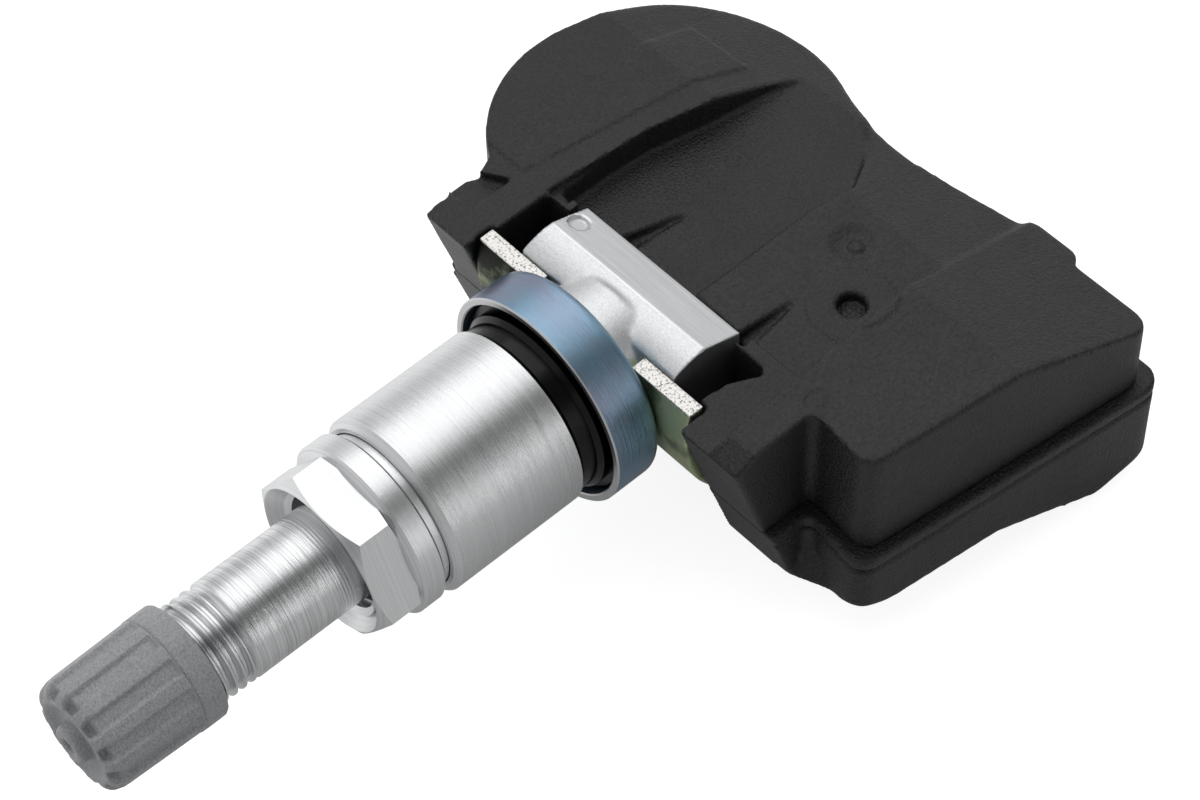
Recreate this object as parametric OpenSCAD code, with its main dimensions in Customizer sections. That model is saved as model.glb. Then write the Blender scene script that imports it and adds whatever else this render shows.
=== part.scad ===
// Tyre pressure sensor with a clamp-in metal valve.
// Y runs along the valve, from the dust cap (-Y) to the electronics (+Y). Z is up.
// The origin is on the valve's axis, at the end of the clamp sleeve that faces the wheel.
// Lengths are in millimetres and angles in degrees.

/* [Valve stem] */
// Outer diameter of the slim part of the stem, which takes the dust cap
stem_d = 7.7; // [7.4:0.1:8.0]
// Length of the slim part, from the tip to the cone of the large thread
stem_slim_l = 20.9; // [19:0.1:24]
// Diameter of the large thread that the nut runs on
stem_thread_d = 9.7; // [9.4:0.1:10]
// Length of the large thread
stem_thread_l = 14.6; // [13:0.1:14.6]
// Length of the cone between the slim part and the large thread
stem_cone_l = 1; // [0.6:0.1:1.4]
// Diameter of the plain neck inside the rubber, ring and plate
stem_neck_d = 9.2; // [8.6:0.1:9.3]
// Diameter of the air passage through the lower stem
air_d = 2.5; // [2:0.1:3]

/* [Cross bar] */
// Diameter of the round bar at the stem's end
foot_d = 11; // [10.4:0.1:11.2]
// Length of the bar, end to end
foot_l = 15.7; // [14:0.1:16]
// Distance from the origin to the bar's axis
foot_y = 10.8; // [10.5:0.1:11]
// Distance from the bar's axis to its flat back
foot_back = 3.4; // [3:0.1:4]
// Angle at which the flat on the bar's rear upper side slopes down
foot_flat_turn = 19; // [17:0.5:21]
// Diameter of the punch mark near the bar's left end
foot_mark_d = 1.6; // [1.2:0.1:1.8]

/* [Dust cap] */
// Outer diameter at the band
cap_d = 9.1; // [8.9:0.1:9.6]
// Length of the cap
cap_l = 10; // [9.5:0.1:11]
// Length of the plain band at the mouth
cap_band_l = 1.6; // [1:0.1:3]
// Height of the round boss on the end face
cap_boss_h = 0.8; // [0.4:0.1:1]
// Diameter of the boss
cap_boss_d = 4.4; // [3.6:0.1:5]
// Number of finger grooves round the cap
cap_grooves = 12; // [8:1:14]
// Width of a groove
cap_groove_w = 1.2; // [0.8:0.05:1.4]
// Depth of a groove near the tip
cap_groove_t = 0.5; // [0.2:0.05:0.5]
// Thickness of the cap's end wall at its middle
cap_end_t = 1.4; // [1.2:0.1:2]
// Thickness of the rubber disc inside the cap
cap_seal_t = 0.8; // [0.5:0.1:1]

/* [Valve core] */
// Diameter of the core's threaded plug
core_d = 5.2; // [5:0.1:5.4]
// Length of the threaded plug
core_plug_l = 4.4; // [4:0.1:5]
// Depth of the plug below the stem's tip
core_depth = 0.6; // [0.4:0.1:1]
// Diameter of the core's barrel
core_barrel_d = 3.8; // [3.6:0.1:4]
// Length of the barrel
core_barrel_l = 7.2; // [6.8:0.1:8]
// Thickness of the rubber ring round the barrel
core_gasket_t = 1; // [0.8:0.1:1.2]
// Diameter of the pin
core_pin_d = 1; // [0.8:0.1:1.2]
// How far the pin is pushed to open the valve
core_stroke = 1.2; // [0.8:0.1:1.5]
// Wire diameter of the core's spring
core_wire = 0.3; // [0.2:0.05:0.35]
// Number of turns of the core's spring
core_turns = 6; // [4:1:8]

/* [Nut] */
// Size across the flats of the hexagon
nut_af = 12; // [11.6:0.1:12]
// Length of the hexagon
nut_hex_l = 3.5; // [3:0.1:4]
// Turn of the hexagon about the valve's axis
nut_turn = 6.65; // [0:0.05:59]
// Diameter of the collar behind the hexagon
nut_collar_d = 13.75; // [13:0.05:14]
// Length of the collar
nut_collar_l = 1.95; // [1.5:0.05:2.4]
// Diameter of the neck that the sleeve turns on
nut_neck_d = 12.4; // [12:0.1:12.6]
// Gap in front of the sleeve in which the neck shows
nut_gap = 0.8; // [0.5:0.1:1.2]
// Diameter of the flange that keeps the sleeve on the neck
nut_flange_d = 13; // [12.8:0.1:13.1]
// Thickness of that flange
nut_flange_t = 1.5; // [1:0.1:2]

/* [Clamp sleeve] */
// Outer diameter, which seats in the pocket round the wheel's valve hole
sleeve_d = 14.2; // [14:0.1:14.6]
// Length of the sleeve
sleeve_l = 11.4; // [11:0.1:12]
// Length of the lip in front of the flange
sleeve_lip_l = 1; // [0.8:0.1:1.4]

/* [Rubber and ring] */
// Outer diameter of the support ring
ring_d = 17; // [16.4:0.1:17.4]
// Wall thickness of the ring
ring_t = 0.6; // [0.5:0.1:0.9]
// Length of the ring
ring_l = 4.05; // [3.6:0.05:4.5]
// Distance from the origin to the ring's rear face
ring_rear = 6.1; // [5.9:0.1:6.2]
// Diameter of the rubber's step against the sleeve
rubber_step_d = 13.6; // [12.6:0.1:14]
// Length of that step
rubber_step_l = 1.6; // [1:0.1:2]
// How far the rubber lies inside the ring's edge
rubber_recess = 0.8; // [0.4:0.1:1.2]

/* [Retainer plate] */
// Thickness of the plate
plate_t = 1.25; // [1:0.05:1.3]
// Half the length of the plate
plate_half = 10.9; // [10.6:0.1:11]
// Height of the plate's upper edge over the valve's axis
plate_top = 4.58; // [4.2:0.02:4.8]
// Distance from the valve's axis down to its lower edge
plate_low = 5.2; // [4:0.1:5.4]
// Radius that the plate is bent to
plate_bend_r = 11; // [10.5:0.1:12]
// Height of the bend's foremost line over the valve's axis
plate_bend_z = 1.5; // [1:0.1:2]

/* [Housing] */
// Height of the arms and the rail over the valve's axis
arm_top = 4.6; // [4.6:0.05:5]
// Height of the middle deck
deck_top = 3.9; // [3.6:0.05:4.2]
// Height of the block
block_top = 5.5; // [5.3:0.05:5.8]
// Height of the recess beside the rail
recess_top = 2; // [1.8:0.05:2.4]
// Distance from the valve's axis down to the joint between the two shells
split_low = 4.6; // [4.2:0.05:5]
// Distance from the valve's axis down to the underside
under_low = 11.2; // [11:0.05:12]
// Angle by which the far half of the housing bends down
bend_angle = 18.6; // [15:0.1:20]
// Where the block's top starts to bend down
bend_y = 25; // [24:0.1:26]
// Where the underside starts to bend down
under_bend_y = 23.5; // [22:0.1:25]
// Wall thickness of the shells
wall = 1.3; // [1.1:0.05:1.5]
// How far the tray stands out past the upper shell
ledge = 0.9; // [0.6:0.05:1.1]
// Height of the bead along the joint
bead_h = 1; // [0.6:0.1:1.2]
// Radius of the rounded lower rear edge
rear_r = 5; // [4:0.1:6]
// Diameter of the air port
port_d = 3; // [2:0.1:3.2]

/* [Housing outline] */
// Where the arms begin, in front of the cross bar
arm_front = 5.2; // [5:0.1:5.6]
// Distance from the valve's axis to the right arm's inner side
arm_in = 11.2; // [11.2:0.1:11.4]
// Distance from the valve's axis to the right arm's outer side
arm_out = 16.8; // [16:0.1:17.4]
// Distance from the valve's axis to the left arm's inner side
left_in = 10.9; // [10.8:0.1:11]
// Distance from the valve's axis to the left arm's outer corner
left_out = 15.2; // [14.6:0.1:16]
// Angle at which the arms' front faces lean back
front_lean = 17; // [14:0.5:18]
// Where the underside starts between the arms
floor_front = 11.4; // [11:0.1:12]
// Depth of the lower facet outside the left arm
facet_t = 0.8; // [0.5:0.1:1.2]
// Angle by which the block stands away from the valve's line
block_turn = 7; // [6:0.5:8]
// Where the block's front starts beside the arm
block_y = 12.5; // [12:0.1:13]
// Width of the block's front beside the arm
block_w = 6; // [5:0.1:7]
// Distance from the origin to the block's rear
block_rear = 37.5; // [36.5:0.1:38.5]
// Distance from the valve's axis to the front of the block's inner edge
strip_x = 14.2; // [13.8:0.1:14.6]
// Angle by which that edge runs back towards the valve's line
strip_turn = 2.3; // [1.5:0.1:3]
// Width of the strip that stands out at the block's rear
strip_w = 4.4; // [4:0.1:5]
// How far that strip stands out
strip_out = 1.1; // [0.8:0.1:1.3]
// Angle of the waist between the block and the lobe
waist_turn = 12; // [10:0.5:14]
// Radius of the hollow curve between the waist and the lobe
waist_r = 18; // [14:0.5:22]
// Distance from the valve's axis to the centre of the lobe's rear half
lobe_x = 9.9; // [9.6:0.1:10.2]
// Distance of that centre from the origin along the valve
lobe_y = 27.8; // [27.4:0.1:28.2]
// How far the lobe's rear half reaches past the coin cell
lobe_over = 0.85; // [0.7:0.05:1.2]
// Distance from the valve's axis to the centre of the lobe's front half
lobe_front_x = 10.6; // [10.3:0.1:10.9]
// Distance of that centre from the origin along the valve
lobe_front_y = 22.2; // [21.8:0.1:22.6]
// How far the lobe's front half reaches past the coin cell
lobe_front_over = 1.45; // [1.3:0.05:1.8]

/* [Electronics] */
// Diameter of the coin cell
cell_d = 20; // [19.5:0.1:20]
// Thickness of the coin cell
cell_t = 3.2; // [2.8:0.1:3.2]
// Thickness of the circuit board
board_t = 1; // [0.8:0.1:1.2]
// Distance from the valve's axis down to the board's underside
board_low = 3.3; // [3.2:0.1:3.6]
// Side of the square pressure sensor package
chip_w = 7; // [5:0.1:7.5]
// Height of the pressure sensor package
chip_h = 1.9; // [1.5:0.1:2.2]
// Diameter of the posts that carry the board
post_d = 2.6; // [2.4:0.1:3]
// Thickness of the cell's contact tabs and the aerial strip
tab_t = 0.2; // [0.15:0.05:0.3]
// Length of the low-frequency coil's core
coil_l = 12; // [10:0.5:13]
// Width of the core's end flanges
coil_w = 3.6; // [3:0.1:4]
// Length of the aerial strip
aerial_l = 11; // [9:0.5:12]
// Height of the aerial strip
aerial_h = 3; // [2:0.1:3.2]
// Length of the timing crystal
crystal_l = 3.2; // [2:0.1:3.4]
// Length of a capacitor
capacitor_l = 1.6; // [1:0.1:1.6]

/* [Clearances] */
// Radial clearance of parts that turn on each other
run_gap = 0.08; // [0.05:0.01:0.1]
// Gap between faces that move past each other
face_gap = 0.1; // [0.05:0.01:0.15]
// Gap between pieces that are fitted together
fit_gap = 0.05; // [0.03:0.01:0.06]
// Gap round the cross bar and plate in the housing
nest_gap = 0.2; // [0.15:0.01:0.25]

/* [Hidden] */
$fn = 72;
// Longer than any part, for cuts that run right through
far = 80;

// Stations along the valve
thread_end = -0.4;
thread_start = thread_end - stem_thread_l;
tip_y = thread_start - stem_cone_l - stem_slim_l;
ring_front = ring_rear - ring_l;
ring_floor = ring_rear - ring_t - 0.1;
ring_bend_r = 0.7;
rubber_front = ring_front + rubber_recess;
collar_rear = -sleeve_l - nut_gap;
hex_rear = collar_rear - nut_collar_l;
nut_front = hex_rear - nut_hex_l;
hex_in = nut_af / 2 - 0.1;
hex_out = nut_af / 2 + 1.4;
hex_cone_l = 0.85;
nut_mouth_l = 1.1;
flange_front = -sleeve_l + sleeve_lip_l + face_gap;
flange_rear = flange_front + nut_flange_t;
sleeve_bore_r = stem_thread_d / 2 + 3 * run_gap;
seat_gap = 0.02;
rubber_bend = 0.35;

// Chamfers, small on parts that are only deburred and larger where a part leads in
edge = 0.2;
lead = 0.5;

// The dust cap, whose rubber disc lies against the stem's tip
cap_inner = tip_y - fit_gap - cap_seal_t;
cap_tip = cap_inner - cap_end_t;
cap_rim = cap_tip + cap_boss_h;
cap_mouth = cap_tip + cap_l;
cap_bore_r = stem_d / 2 + fit_gap;
cap_rim_r = 0.9;
cap_rim_l = 1.4;
groove_start = 0.7;
groove_end_t = 0.12;

// The valve core, from the stem's tip inwards
plug_front = tip_y + core_depth;
plug_rear = plug_front + core_plug_l;
barrel_head_t = 0.7;
gasket_front = plug_rear + barrel_head_t;
gasket_rear = gasket_front + core_gasket_t;
barrel_rear = plug_rear + core_barrel_l;
core_bore_r = core_barrel_d / 2 + 0.15;
pin_r = core_pin_d / 2;
pin_front = tip_y + 0.3;
pin_collar_r = 1.2;
pin_collar_t = 0.4;
pin_collar_y = plug_rear + fit_gap;
spring_front = pin_collar_y + pin_collar_t;
spring_rear = barrel_rear - 1.3;
spring_r = pin_collar_r - core_wire / 2;
barrel_bore_r = pin_collar_r + 0.15;
seal_t = 0.7;
cup_t = 1;
cup_rear = barrel_rear + seal_t + cup_t;
core_bore_rear = cup_rear + core_stroke + 2.4;

// Distance from the cross bar's axis to the flat on its rear upper side
foot_flat_r = foot_d / 2 * cos(foot_flat_turn);
foot_mark_t = 0.3;

// The plate is bent about a line behind it
plate_axis_y = ring_rear + fit_gap + plate_bend_r;
plate_inner_r = plate_bend_r - plate_t;

// Housing outline, counter-clockwise seen from above, each point with its corner radius
pocket_front = 7.6;
pocket_rear = foot_y + foot_back + nest_gap;
turn_x = [cos(block_turn), -sin(block_turn)];
block_a = [arm_out, block_y];
block_b = block_a + block_w * turn_x;
block_c = [block_b.x + (block_rear - block_b.y) * tan(block_turn), block_rear];
strip_rear_x = strip_x - (block_rear - arm_front) * tan(strip_turn);
waist_a = [strip_rear_x - 0.5, block_rear + 0.2];
waist_dir = [cos(waist_turn), sin(waist_turn)];
waist_out = [-sin(waist_turn), cos(waist_turn)];
lobe_r = cell_d / 2 + lobe_over;
lobe_front_r = cell_d / 2 + lobe_front_over;
lobe_mid = [-lobe_x, lobe_y];
lobe_front = [-lobe_front_x, lobe_front_y];
// Direction in which a flat wall touches both of the lobe's circles
lobe_line = (lobe_mid - lobe_front) / norm(lobe_mid - lobe_front);
lobe_cos = (lobe_front_r - lobe_r) / norm(lobe_mid - lobe_front);
lobe_side = lobe_cos * lobe_line + sqrt(1 - lobe_cos * lobe_cos) * [-lobe_line.y, lobe_line.x];
// Centre of the fillet that blends the waist into the lobe: it touches both
waist_gap = (lobe_mid - waist_a) * waist_out;
waist_reach = sqrt(pow(lobe_r + waist_r, 2) - pow(waist_r - waist_gap, 2));
fillet_mid = lobe_mid + (waist_r - waist_gap) * waist_out + waist_reach * waist_dir;
fillet_turn = atan2(fillet_mid.y - lobe_y, fillet_mid.x + lobe_x);
fillet_from = waist_turn - 90;
fillet_to = fillet_turn - 180;
fillet_steps = 12;
lobe_spoke = fillet_turn + 12;
outline = [
    [arm_in, arm_front, 0.3],
    [arm_out, arm_front, 0.5],
    [block_a.x, block_a.y, 0.8],
    [block_b.x, block_b.y, 1.4],
    [block_c.x, block_c.y, 1.8],
    [strip_rear_x + strip_w + 0.8, block_rear, 0.5],
    [strip_rear_x + strip_w, block_rear + strip_out, 0.8],
    [strip_rear_x + 0.3, block_rear + strip_out, 0.8],
    [waist_a.x, waist_a.y, 0.3],
    for (i = [0:fillet_steps]) let (a = fillet_from + (fillet_to - fillet_from) * i / fillet_steps)
        [fillet_mid.x + waist_r * cos(a), fillet_mid.y + waist_r * sin(a), 0],
    [-lobe_x + 0.9 * lobe_r * cos(lobe_spoke), lobe_y + 0.9 * lobe_r * sin(lobe_spoke), 0],
    [-lobe_x, lobe_y, 0],
    [-lobe_front_x - 0.6 * lobe_front_r, lobe_front_y - 0.6 * lobe_front_r, 0],
    [-left_out - 0.35, arm_front + 5.65, 0.3],
    [-left_out - 0.85, arm_front + 4.6, 0.6],
    [-left_out - 0.8, arm_front + 2.9, 0.3],
    [-left_out - 0.3, arm_front + 2.6, 0.2],
    [-left_out, arm_front, 0.3],
    [-left_in, arm_front, 0.3],
    [-left_in, pocket_front, 0],
    [arm_in, pocket_front, 0]];

// The right edge of the rail, and the recess's other side
rail_edge = [[-10.8, 13], [-10.4, 18.3], [-10.1, 22.2], [-9, 27.1], [-8.2, 32.3], [-7, 37]];
recess_edge = [[-1.5, 36.5], [1.8, 32.3], [3.4, 29.6], [2.8, 25.7], [2.8, 13]];

// Inside the housing
cell_y = pocket_rear + wall + fit_gap + cell_d / 2;
cell_x = -lobe_front_x + (lobe_front_x - lobe_x) * (cell_y - lobe_front_y) / (lobe_y - lobe_front_y);
cell_top = -split_low - 0.8;
cell_bottom = cell_top - cell_t;
board_top = -board_low + board_t;
board_front = pocket_rear + wall + 0.4;
deck_under = deck_top - wall;
port = [11.2, 21.8];
posts = [[4.2, board_front + 2.1], [block_b.x - 3.2, block_b.y + 4.8],
    [block_c.x - 3.8, block_rear - 5], [3.2, block_rear - 6.9]];
coil_at = [block_b.x - 5.6, block_b.y + 6.8];
coil_flange_t = 1.2;
coil_rod_w = coil_w - 1.6;
coil_h = coil_w - 0.2;
winding_t = 0.6;
tab_w = 0.15 * cell_d;
port_seal_r = port_d / 2 + 1.3;
gusset_h = 5.7;
gusset_lean = 17.5;
rear_end = max(block_rear + strip_out, lobe_y + lobe_r) + ledge;
pin_d = 1.5;

// Small forms of the upper face
deck_drop = 0.35;
ramp_l = 1.9;
taper_t = 1.2;
gate = [7.3, 25.8];
gate_r = 5;
gate_t = 0.35;

// Unit vector
function unit(v) = v / norm(v);

// Moves an edge corner outwards by g, for an outline that runs counter-clockwise
function side(a, b) = let (d = unit(b - a)) [d.y, -d.x];
function shifted(a, b, c, g) = let (m = side(a, b), n = side(b, c)) b + g * (m + n) / (1 + m * n);

// Points of the arc that rounds corner b between a and c
function rounded_corner(a, b, c, r, steps = 6) = r <= 0 ? [b] :
    let (
        u = unit(a - b),
        v = unit(c - b),
        half = acos(u * v) / 2,
        centre = b + unit(u + v) * r / sin(half),
        start = b + u * r / tan(half) - centre,
        end = b + v * r / tan(half) - centre,
        from = atan2(start.y, start.x),
        sweep = (atan2(end.y, end.x) - from + 540) % 360 - 180
    )
    [for (i = [0:steps]) centre + r * [cos(from + sweep * i / steps), sin(from + sweep * i / steps)]];

// The outline moved outwards by g, with its corners rounded
function flat_point(p) = [p.x, p.y];
function grown(p, g) = let (n = len(p))
    [for (i = [0:n - 1]) shifted(flat_point(p[(i + n - 1) % n]), flat_point(p[i]),
        flat_point(p[(i + 1) % n]), g)];
function rounded_outline(p, g) = let (n = len(p), q = grown(p, g))
    [for (i = [0:n - 1]) each rounded_corner(q[(i + n - 1) % n], q[i], q[(i + 1) % n],
        p[i][2] == 0 ? 0 : max(0.2, p[i][2] + (g < 0 ? g : 0)))];

// A solid turned about the valve's axis, from points of radius and station
module turned(points) rotate([-90, 0, 0]) rotate_extrude($fn = 96) polygon(points);

// A bore along the valve's axis
module bore(r, from, to) translate([0, from, 0]) rotate([-90, 0, 0]) cylinder(r = r, h = to - from);

// A prism of the side view's points (station and height), as wide as the housing
module side_prism(points) rotate([90, 0, 90]) linear_extrude(far, center = true) polygon(points);

// The housing's plan, moved outwards by g, between two heights
module plan(g, low, high) translate([0, 0, low]) {
    linear_extrude(high - low) polygon(rounded_outline(outline, g));
    translate([-lobe_x, lobe_y, 0]) cylinder(r = lobe_r + g, h = high - low, $fn = 96);
    translate([-lobe_front_x, lobe_front_y, 0])
        cylinder(r = lobe_front_r + g, h = high - low, $fn = 96);
    linear_extrude(high - low) polygon([lobe_front, lobe_mid, lobe_mid + (lobe_r + g) * lobe_side,
        lobe_front + (lobe_front_r + g) * lobe_side]);
}

// Everything under the sloping plane that the housing's tops bend down to
module below_bend(drop) side_prism([[-far, -far], [far, -far],
    [far, block_top - drop - (far - bend_y) * tan(bend_angle)], [bend_y, block_top - drop],
    [bend_y - 20, block_top - drop + 20 * tan(bend_angle)], [-far, block_top + 20]]);

// The housing's side view between its leaning front and rounded rear, smaller by g
function rear_edge(g) = let (
        y0 = rear_end - rear_r,
        z0 = -under_low - (y0 - under_bend_y) * tan(bend_angle) + rear_r / cos(bend_angle)
    )
    [for (a = [-90 - bend_angle:12:0]) [y0 + (rear_r - g) * cos(a), z0 + (rear_r - g) * sin(a)]];
module side_view(g) side_prism(concat(
    [[-5, far], [-5, -under_low + g], [under_bend_y, -under_low + g]],
    rear_edge(g), [[rear_end - g, far]]));

// Cuts the leaning front faces of the arms
module front_cut() side_prism([[arm_front, arm_top], [arm_front - far, arm_top],
    [arm_front - far, -far], [arm_front + (arm_top + far) * tan(front_lean), -far]]);

// Room for the cross bar, the plate and the ends of both
module nest() {
    room_x = foot_l / 2 + nest_gap + 0.25;
    room_r = foot_d / 2 + nest_gap;
    intersection() {
        union() {
            translate([0, foot_y, 0]) rotate([0, 90, 0])
                cylinder(r = room_r, h = 2 * room_x, center = true);
            translate([-room_x, foot_y - room_r, 0]) cube([2 * room_x, 2 * room_r, far]);
            translate([-room_x, 0, -room_r]) cube([2 * room_x, foot_y, room_r + far]);
        }
        translate([-far / 2, 0, -far / 2]) cube([far, pocket_rear, far]);
    }
    // Deep pockets beside the ends of the cross bar
    translate([0, 0, -split_low + wall]) linear_extrude(far)
        polygon([[room_x - 0.5, 0], [arm_in - 1, 0], [arm_in - 1, foot_y - 2.8],
            [arm_in - 0.7, foot_y - 0.5], [arm_in + 0.4, foot_y + 1.8], [arm_in, foot_y + 2.3],
            [room_x - 0.5, foot_y + 2.3]]);
    translate([-left_in + 0.3, 0, -split_low + wall])
        cube([left_in - room_x, foot_y + 2, far]);
    // Slots that the plate's ends stand in
    intersection() {
        translate([0, plate_axis_y, plate_bend_z]) rotate([0, 90, 0]) difference() {
            cylinder(r = plate_bend_r + nest_gap, h = 2 * (plate_half + nest_gap), center = true);
            cylinder(r = plate_inner_r - nest_gap, h = far, center = true);
        }
        translate([-far / 2, -far, -plate_low - nest_gap]) cube([far, far + foot_y, far]);
    }
    // The space in front of the plate, between the arms, and under the cross bar
    translate([-left_in, -far, -plate_low - nest_gap])
        cube([left_in + arm_in, far + pocket_front, far]);
    translate([-left_in, -far, -far])
        cube([left_in + arm_in, far + floor_front, far - plate_low - nest_gap]);
}

// Dust cap with its finger grooves
module valve_cap() color("#8b8e90") difference() {
    cap_r = cap_d / 2;
    boss_r = cap_boss_d / 2;
    turned([[0, cap_tip + lead], [lead, cap_tip], [boss_r - 0.3, cap_tip], [boss_r, cap_tip + 0.3],
        [boss_r + edge, cap_rim + edge], [boss_r + lead, cap_rim + edge], [boss_r + lead + edge, cap_rim],
        [cap_r - cap_rim_r, cap_rim], [cap_r - cap_rim_r * 0.4, cap_rim + cap_rim_l * 0.2],
        [cap_r - cap_rim_r * 0.1, cap_rim + cap_rim_l * 0.55], [cap_r, cap_rim + cap_rim_l],
        [cap_r, cap_mouth - edge], [cap_r - edge, cap_mouth], [cap_bore_r + edge, cap_mouth],
        [cap_bore_r, cap_mouth - edge], [cap_bore_r, cap_inner], [0, cap_inner]]);
    for (i = [0:cap_grooves - 1]) rotate([0, 360 / cap_grooves * i, 0]) cap_groove();
}

// A groove that starts deep behind the rim and fades out at the band
module cap_groove() {
    groove_front = cap_rim + groove_start;
    groove_l = cap_mouth - cap_band_l - groove_front;
    translate([-cap_groove_w / 2, groove_front, 0]) rotate([90, 0, 90]) linear_extrude(cap_groove_w)
        polygon([[0, cap_d / 2 - cap_groove_t], [groove_l, cap_d / 2 - groove_end_t],
            [groove_l, cap_d], [0, cap_d]]);
}

// Rubber disc that seals the cap on the stem's tip
module cap_seal() color("#2a2a2c")
    translate([0, cap_inner, 0]) rotate([-90, 0, 0]) cylinder(r = cap_bore_r - fit_gap, h = cap_seal_t);

// One-piece aluminium stem with its cross bar
module valve_stem() color("#c9cccf") difference() {
    union() {
        turned([[0, tip_y], [stem_d / 2 - lead, tip_y], [stem_d / 2, tip_y + lead],
            [stem_d / 2, thread_start - stem_cone_l], [stem_thread_d / 2, thread_start],
            [stem_thread_d / 2, thread_end], [stem_neck_d / 2, thread_end], [stem_neck_d / 2, foot_y],
            [0, foot_y]]);
        cross_bar();
    }
    turned([[0, tip_y - far], [core_d / 2 + fit_gap, tip_y - far], [core_d / 2 + fit_gap, gasket_rear],
        [core_bore_r, gasket_rear], [core_bore_r, core_bore_rear],
        [0, core_bore_rear + core_bore_r]]);
    bore(air_d / 2, core_bore_rear - 1, foot_y + far);
    translate([-foot_l / 2 + foot_mark_d / 2 + edge, foot_y, 0]) rotate([-foot_flat_turn, 0, 0])
        translate([0, 0, foot_flat_r - foot_mark_t]) cylinder(d = foot_mark_d, h = far);
}

module cross_bar() intersection() {
    translate([0, foot_y, 0]) rotate([0, 90, 0]) cylinder(d = foot_d, h = foot_l, center = true);
    translate([0, plate_axis_y, plate_bend_z]) rotate([0, 90, 0])
        cylinder(r = plate_inner_r - fit_gap, h = far, center = true);
    translate([-far / 2, 0, -far / 2]) cube([far, foot_y + foot_back, far]);
    translate([0, foot_y, 0]) rotate([-foot_flat_turn, 0, 0])
        translate([-far / 2, -far / 2, foot_flat_r - far]) cube([far, far, far]);
}

// Threaded plug of the valve core, with a bridge that guides the pin
module core_plug() color("#b8963e") {
    turned([[1.7, plug_front], [core_d / 2, plug_front], [core_d / 2, plug_rear], [1.7, plug_rear]]);
    difference() {
        translate([-1.8, plug_front, -0.6]) cube([3.6, 1.2, 1.2]);
        bore(pin_r + run_gap, plug_front - 1, plug_rear);
    }
}

// Barrel of the valve core, whose rear end is the valve seat
module core_barrel() color("#c2a052") turned([
    [barrel_bore_r, plug_rear], [core_d / 2 - 0.2, plug_rear], [core_d / 2 - 0.2, gasket_front],
    [core_barrel_d / 2, gasket_front], [core_barrel_d / 2, barrel_rear], [pin_r + 0.35, barrel_rear],
    [pin_r + 0.35, spring_rear + fit_gap], [barrel_bore_r, spring_rear + fit_gap]]);

// Rubber ring that seals the core in the stem
module core_gasket() color("#8c2f2a") turned([
    [core_barrel_d / 2 + 0.02, gasket_front], [core_d / 2 - 0.1, gasket_front],
    [core_d / 2 - 0.1, gasket_rear - 0.02], [core_barrel_d / 2 + 0.02, gasket_rear - 0.02]]);

// Pin that is pressed to let air through
module core_pin() color("#c9a75a") turned([
    [0, pin_front], [pin_r - 0.15, pin_front], [pin_r, pin_front + 0.2], [pin_r, pin_collar_y],
    [pin_collar_r, pin_collar_y], [pin_collar_r, spring_front], [pin_r, spring_front],
    [pin_r, cup_rear], [0, cup_rear]]);

// Coil spring round the pin
module core_spring() color("#d0d0d0") {
    rise = (spring_rear - spring_front - core_wire) / core_turns;
    steps = 14;
    sides = 6;
    rings = core_turns * steps;
    path = [for (i = [0:rings]) let (a = 360 * i / steps)
        [spring_r * cos(a), spring_front + (core_wire + fit_gap) / 2 + rise * 0.98 * i / steps,
            spring_r * sin(a)]];
    wire = [for (i = [0:rings]) let (a = 360 * i / steps) for (k = [0:sides - 1])
        let (b = 360 * k / sides) path[i] + core_wire / 2 * (
            cos(b) * [cos(a), 0, sin(a)] + sin(b) * [0, 1, 0])];
    faces = concat(
        [[for (k = [0:sides - 1]) k]],
        [for (i = [0:rings - 1]) for (k = [0:sides - 1]) let (n = (k + 1) % sides)
            [i * sides + k, (i + 1) * sides + k, (i + 1) * sides + n, i * sides + n]],
        [[for (k = [sides - 1:-1:0]) rings * sides + k]]);
    polyhedron(wire, faces, convexity = 10);
}

// Rubber disc that closes the barrel's end
module core_seal() color("#202022") turned([
    [pin_r + fit_gap, barrel_rear + 0.02], [core_barrel_d / 2 - 0.3, barrel_rear + 0.02],
    [core_barrel_d / 2 - 0.3, barrel_rear + seal_t], [pin_r + fit_gap, barrel_rear + seal_t]]);

// Metal cup that carries the rubber disc on the pin
module core_cup() color("#c2a052") turned([
    [pin_r + 0.01, barrel_rear + seal_t], [core_barrel_d / 2 - 0.15, barrel_rear + seal_t],
    [core_barrel_d / 2 - 0.15, cup_rear - 0.4], [core_barrel_d / 2 - 0.6, cup_rear - 0.1],
    [pin_r + 0.01, cup_rear - 0.1]]);

// Clamping nut: hexagon, collar, and the neck and flange that hold the sleeve
module hex_nut() color("#cfd1d3") difference() {
    union() {
        intersection() {
            translate([0, nut_front, 0]) rotate([-90, 0, 0]) rotate([0, 0, nut_turn])
                cylinder(d = nut_af / cos(30), h = nut_hex_l, $fn = 6);
            turned([[0, nut_front], [hex_in, nut_front], [hex_out, nut_front + hex_cone_l],
                [hex_out, hex_rear - hex_cone_l * 0.8], [hex_in, hex_rear], [0, hex_rear]]);
        }
        turned([[0, hex_rear - lead], [hex_in - edge, hex_rear - lead], [hex_in - edge, hex_rear],
            [nut_collar_d / 2 - edge, hex_rear], [nut_collar_d / 2, hex_rear + edge],
            [nut_collar_d / 2, collar_rear - edge], [nut_collar_d / 2 - edge, collar_rear],
            [nut_neck_d / 2, collar_rear], [nut_neck_d / 2, flange_front],
            [nut_flange_d / 2, flange_front], [nut_flange_d / 2, flange_rear], [0, flange_rear]]);
    }
    bore(stem_thread_d / 2 + run_gap, nut_front - 1, flange_rear + 1);
    turned([[0, nut_front - far], [hex_in, nut_front - far], [hex_in, nut_front],
        [stem_thread_d / 2, nut_front + nut_mouth_l], [0, nut_front + nut_mouth_l]]);
}

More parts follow.
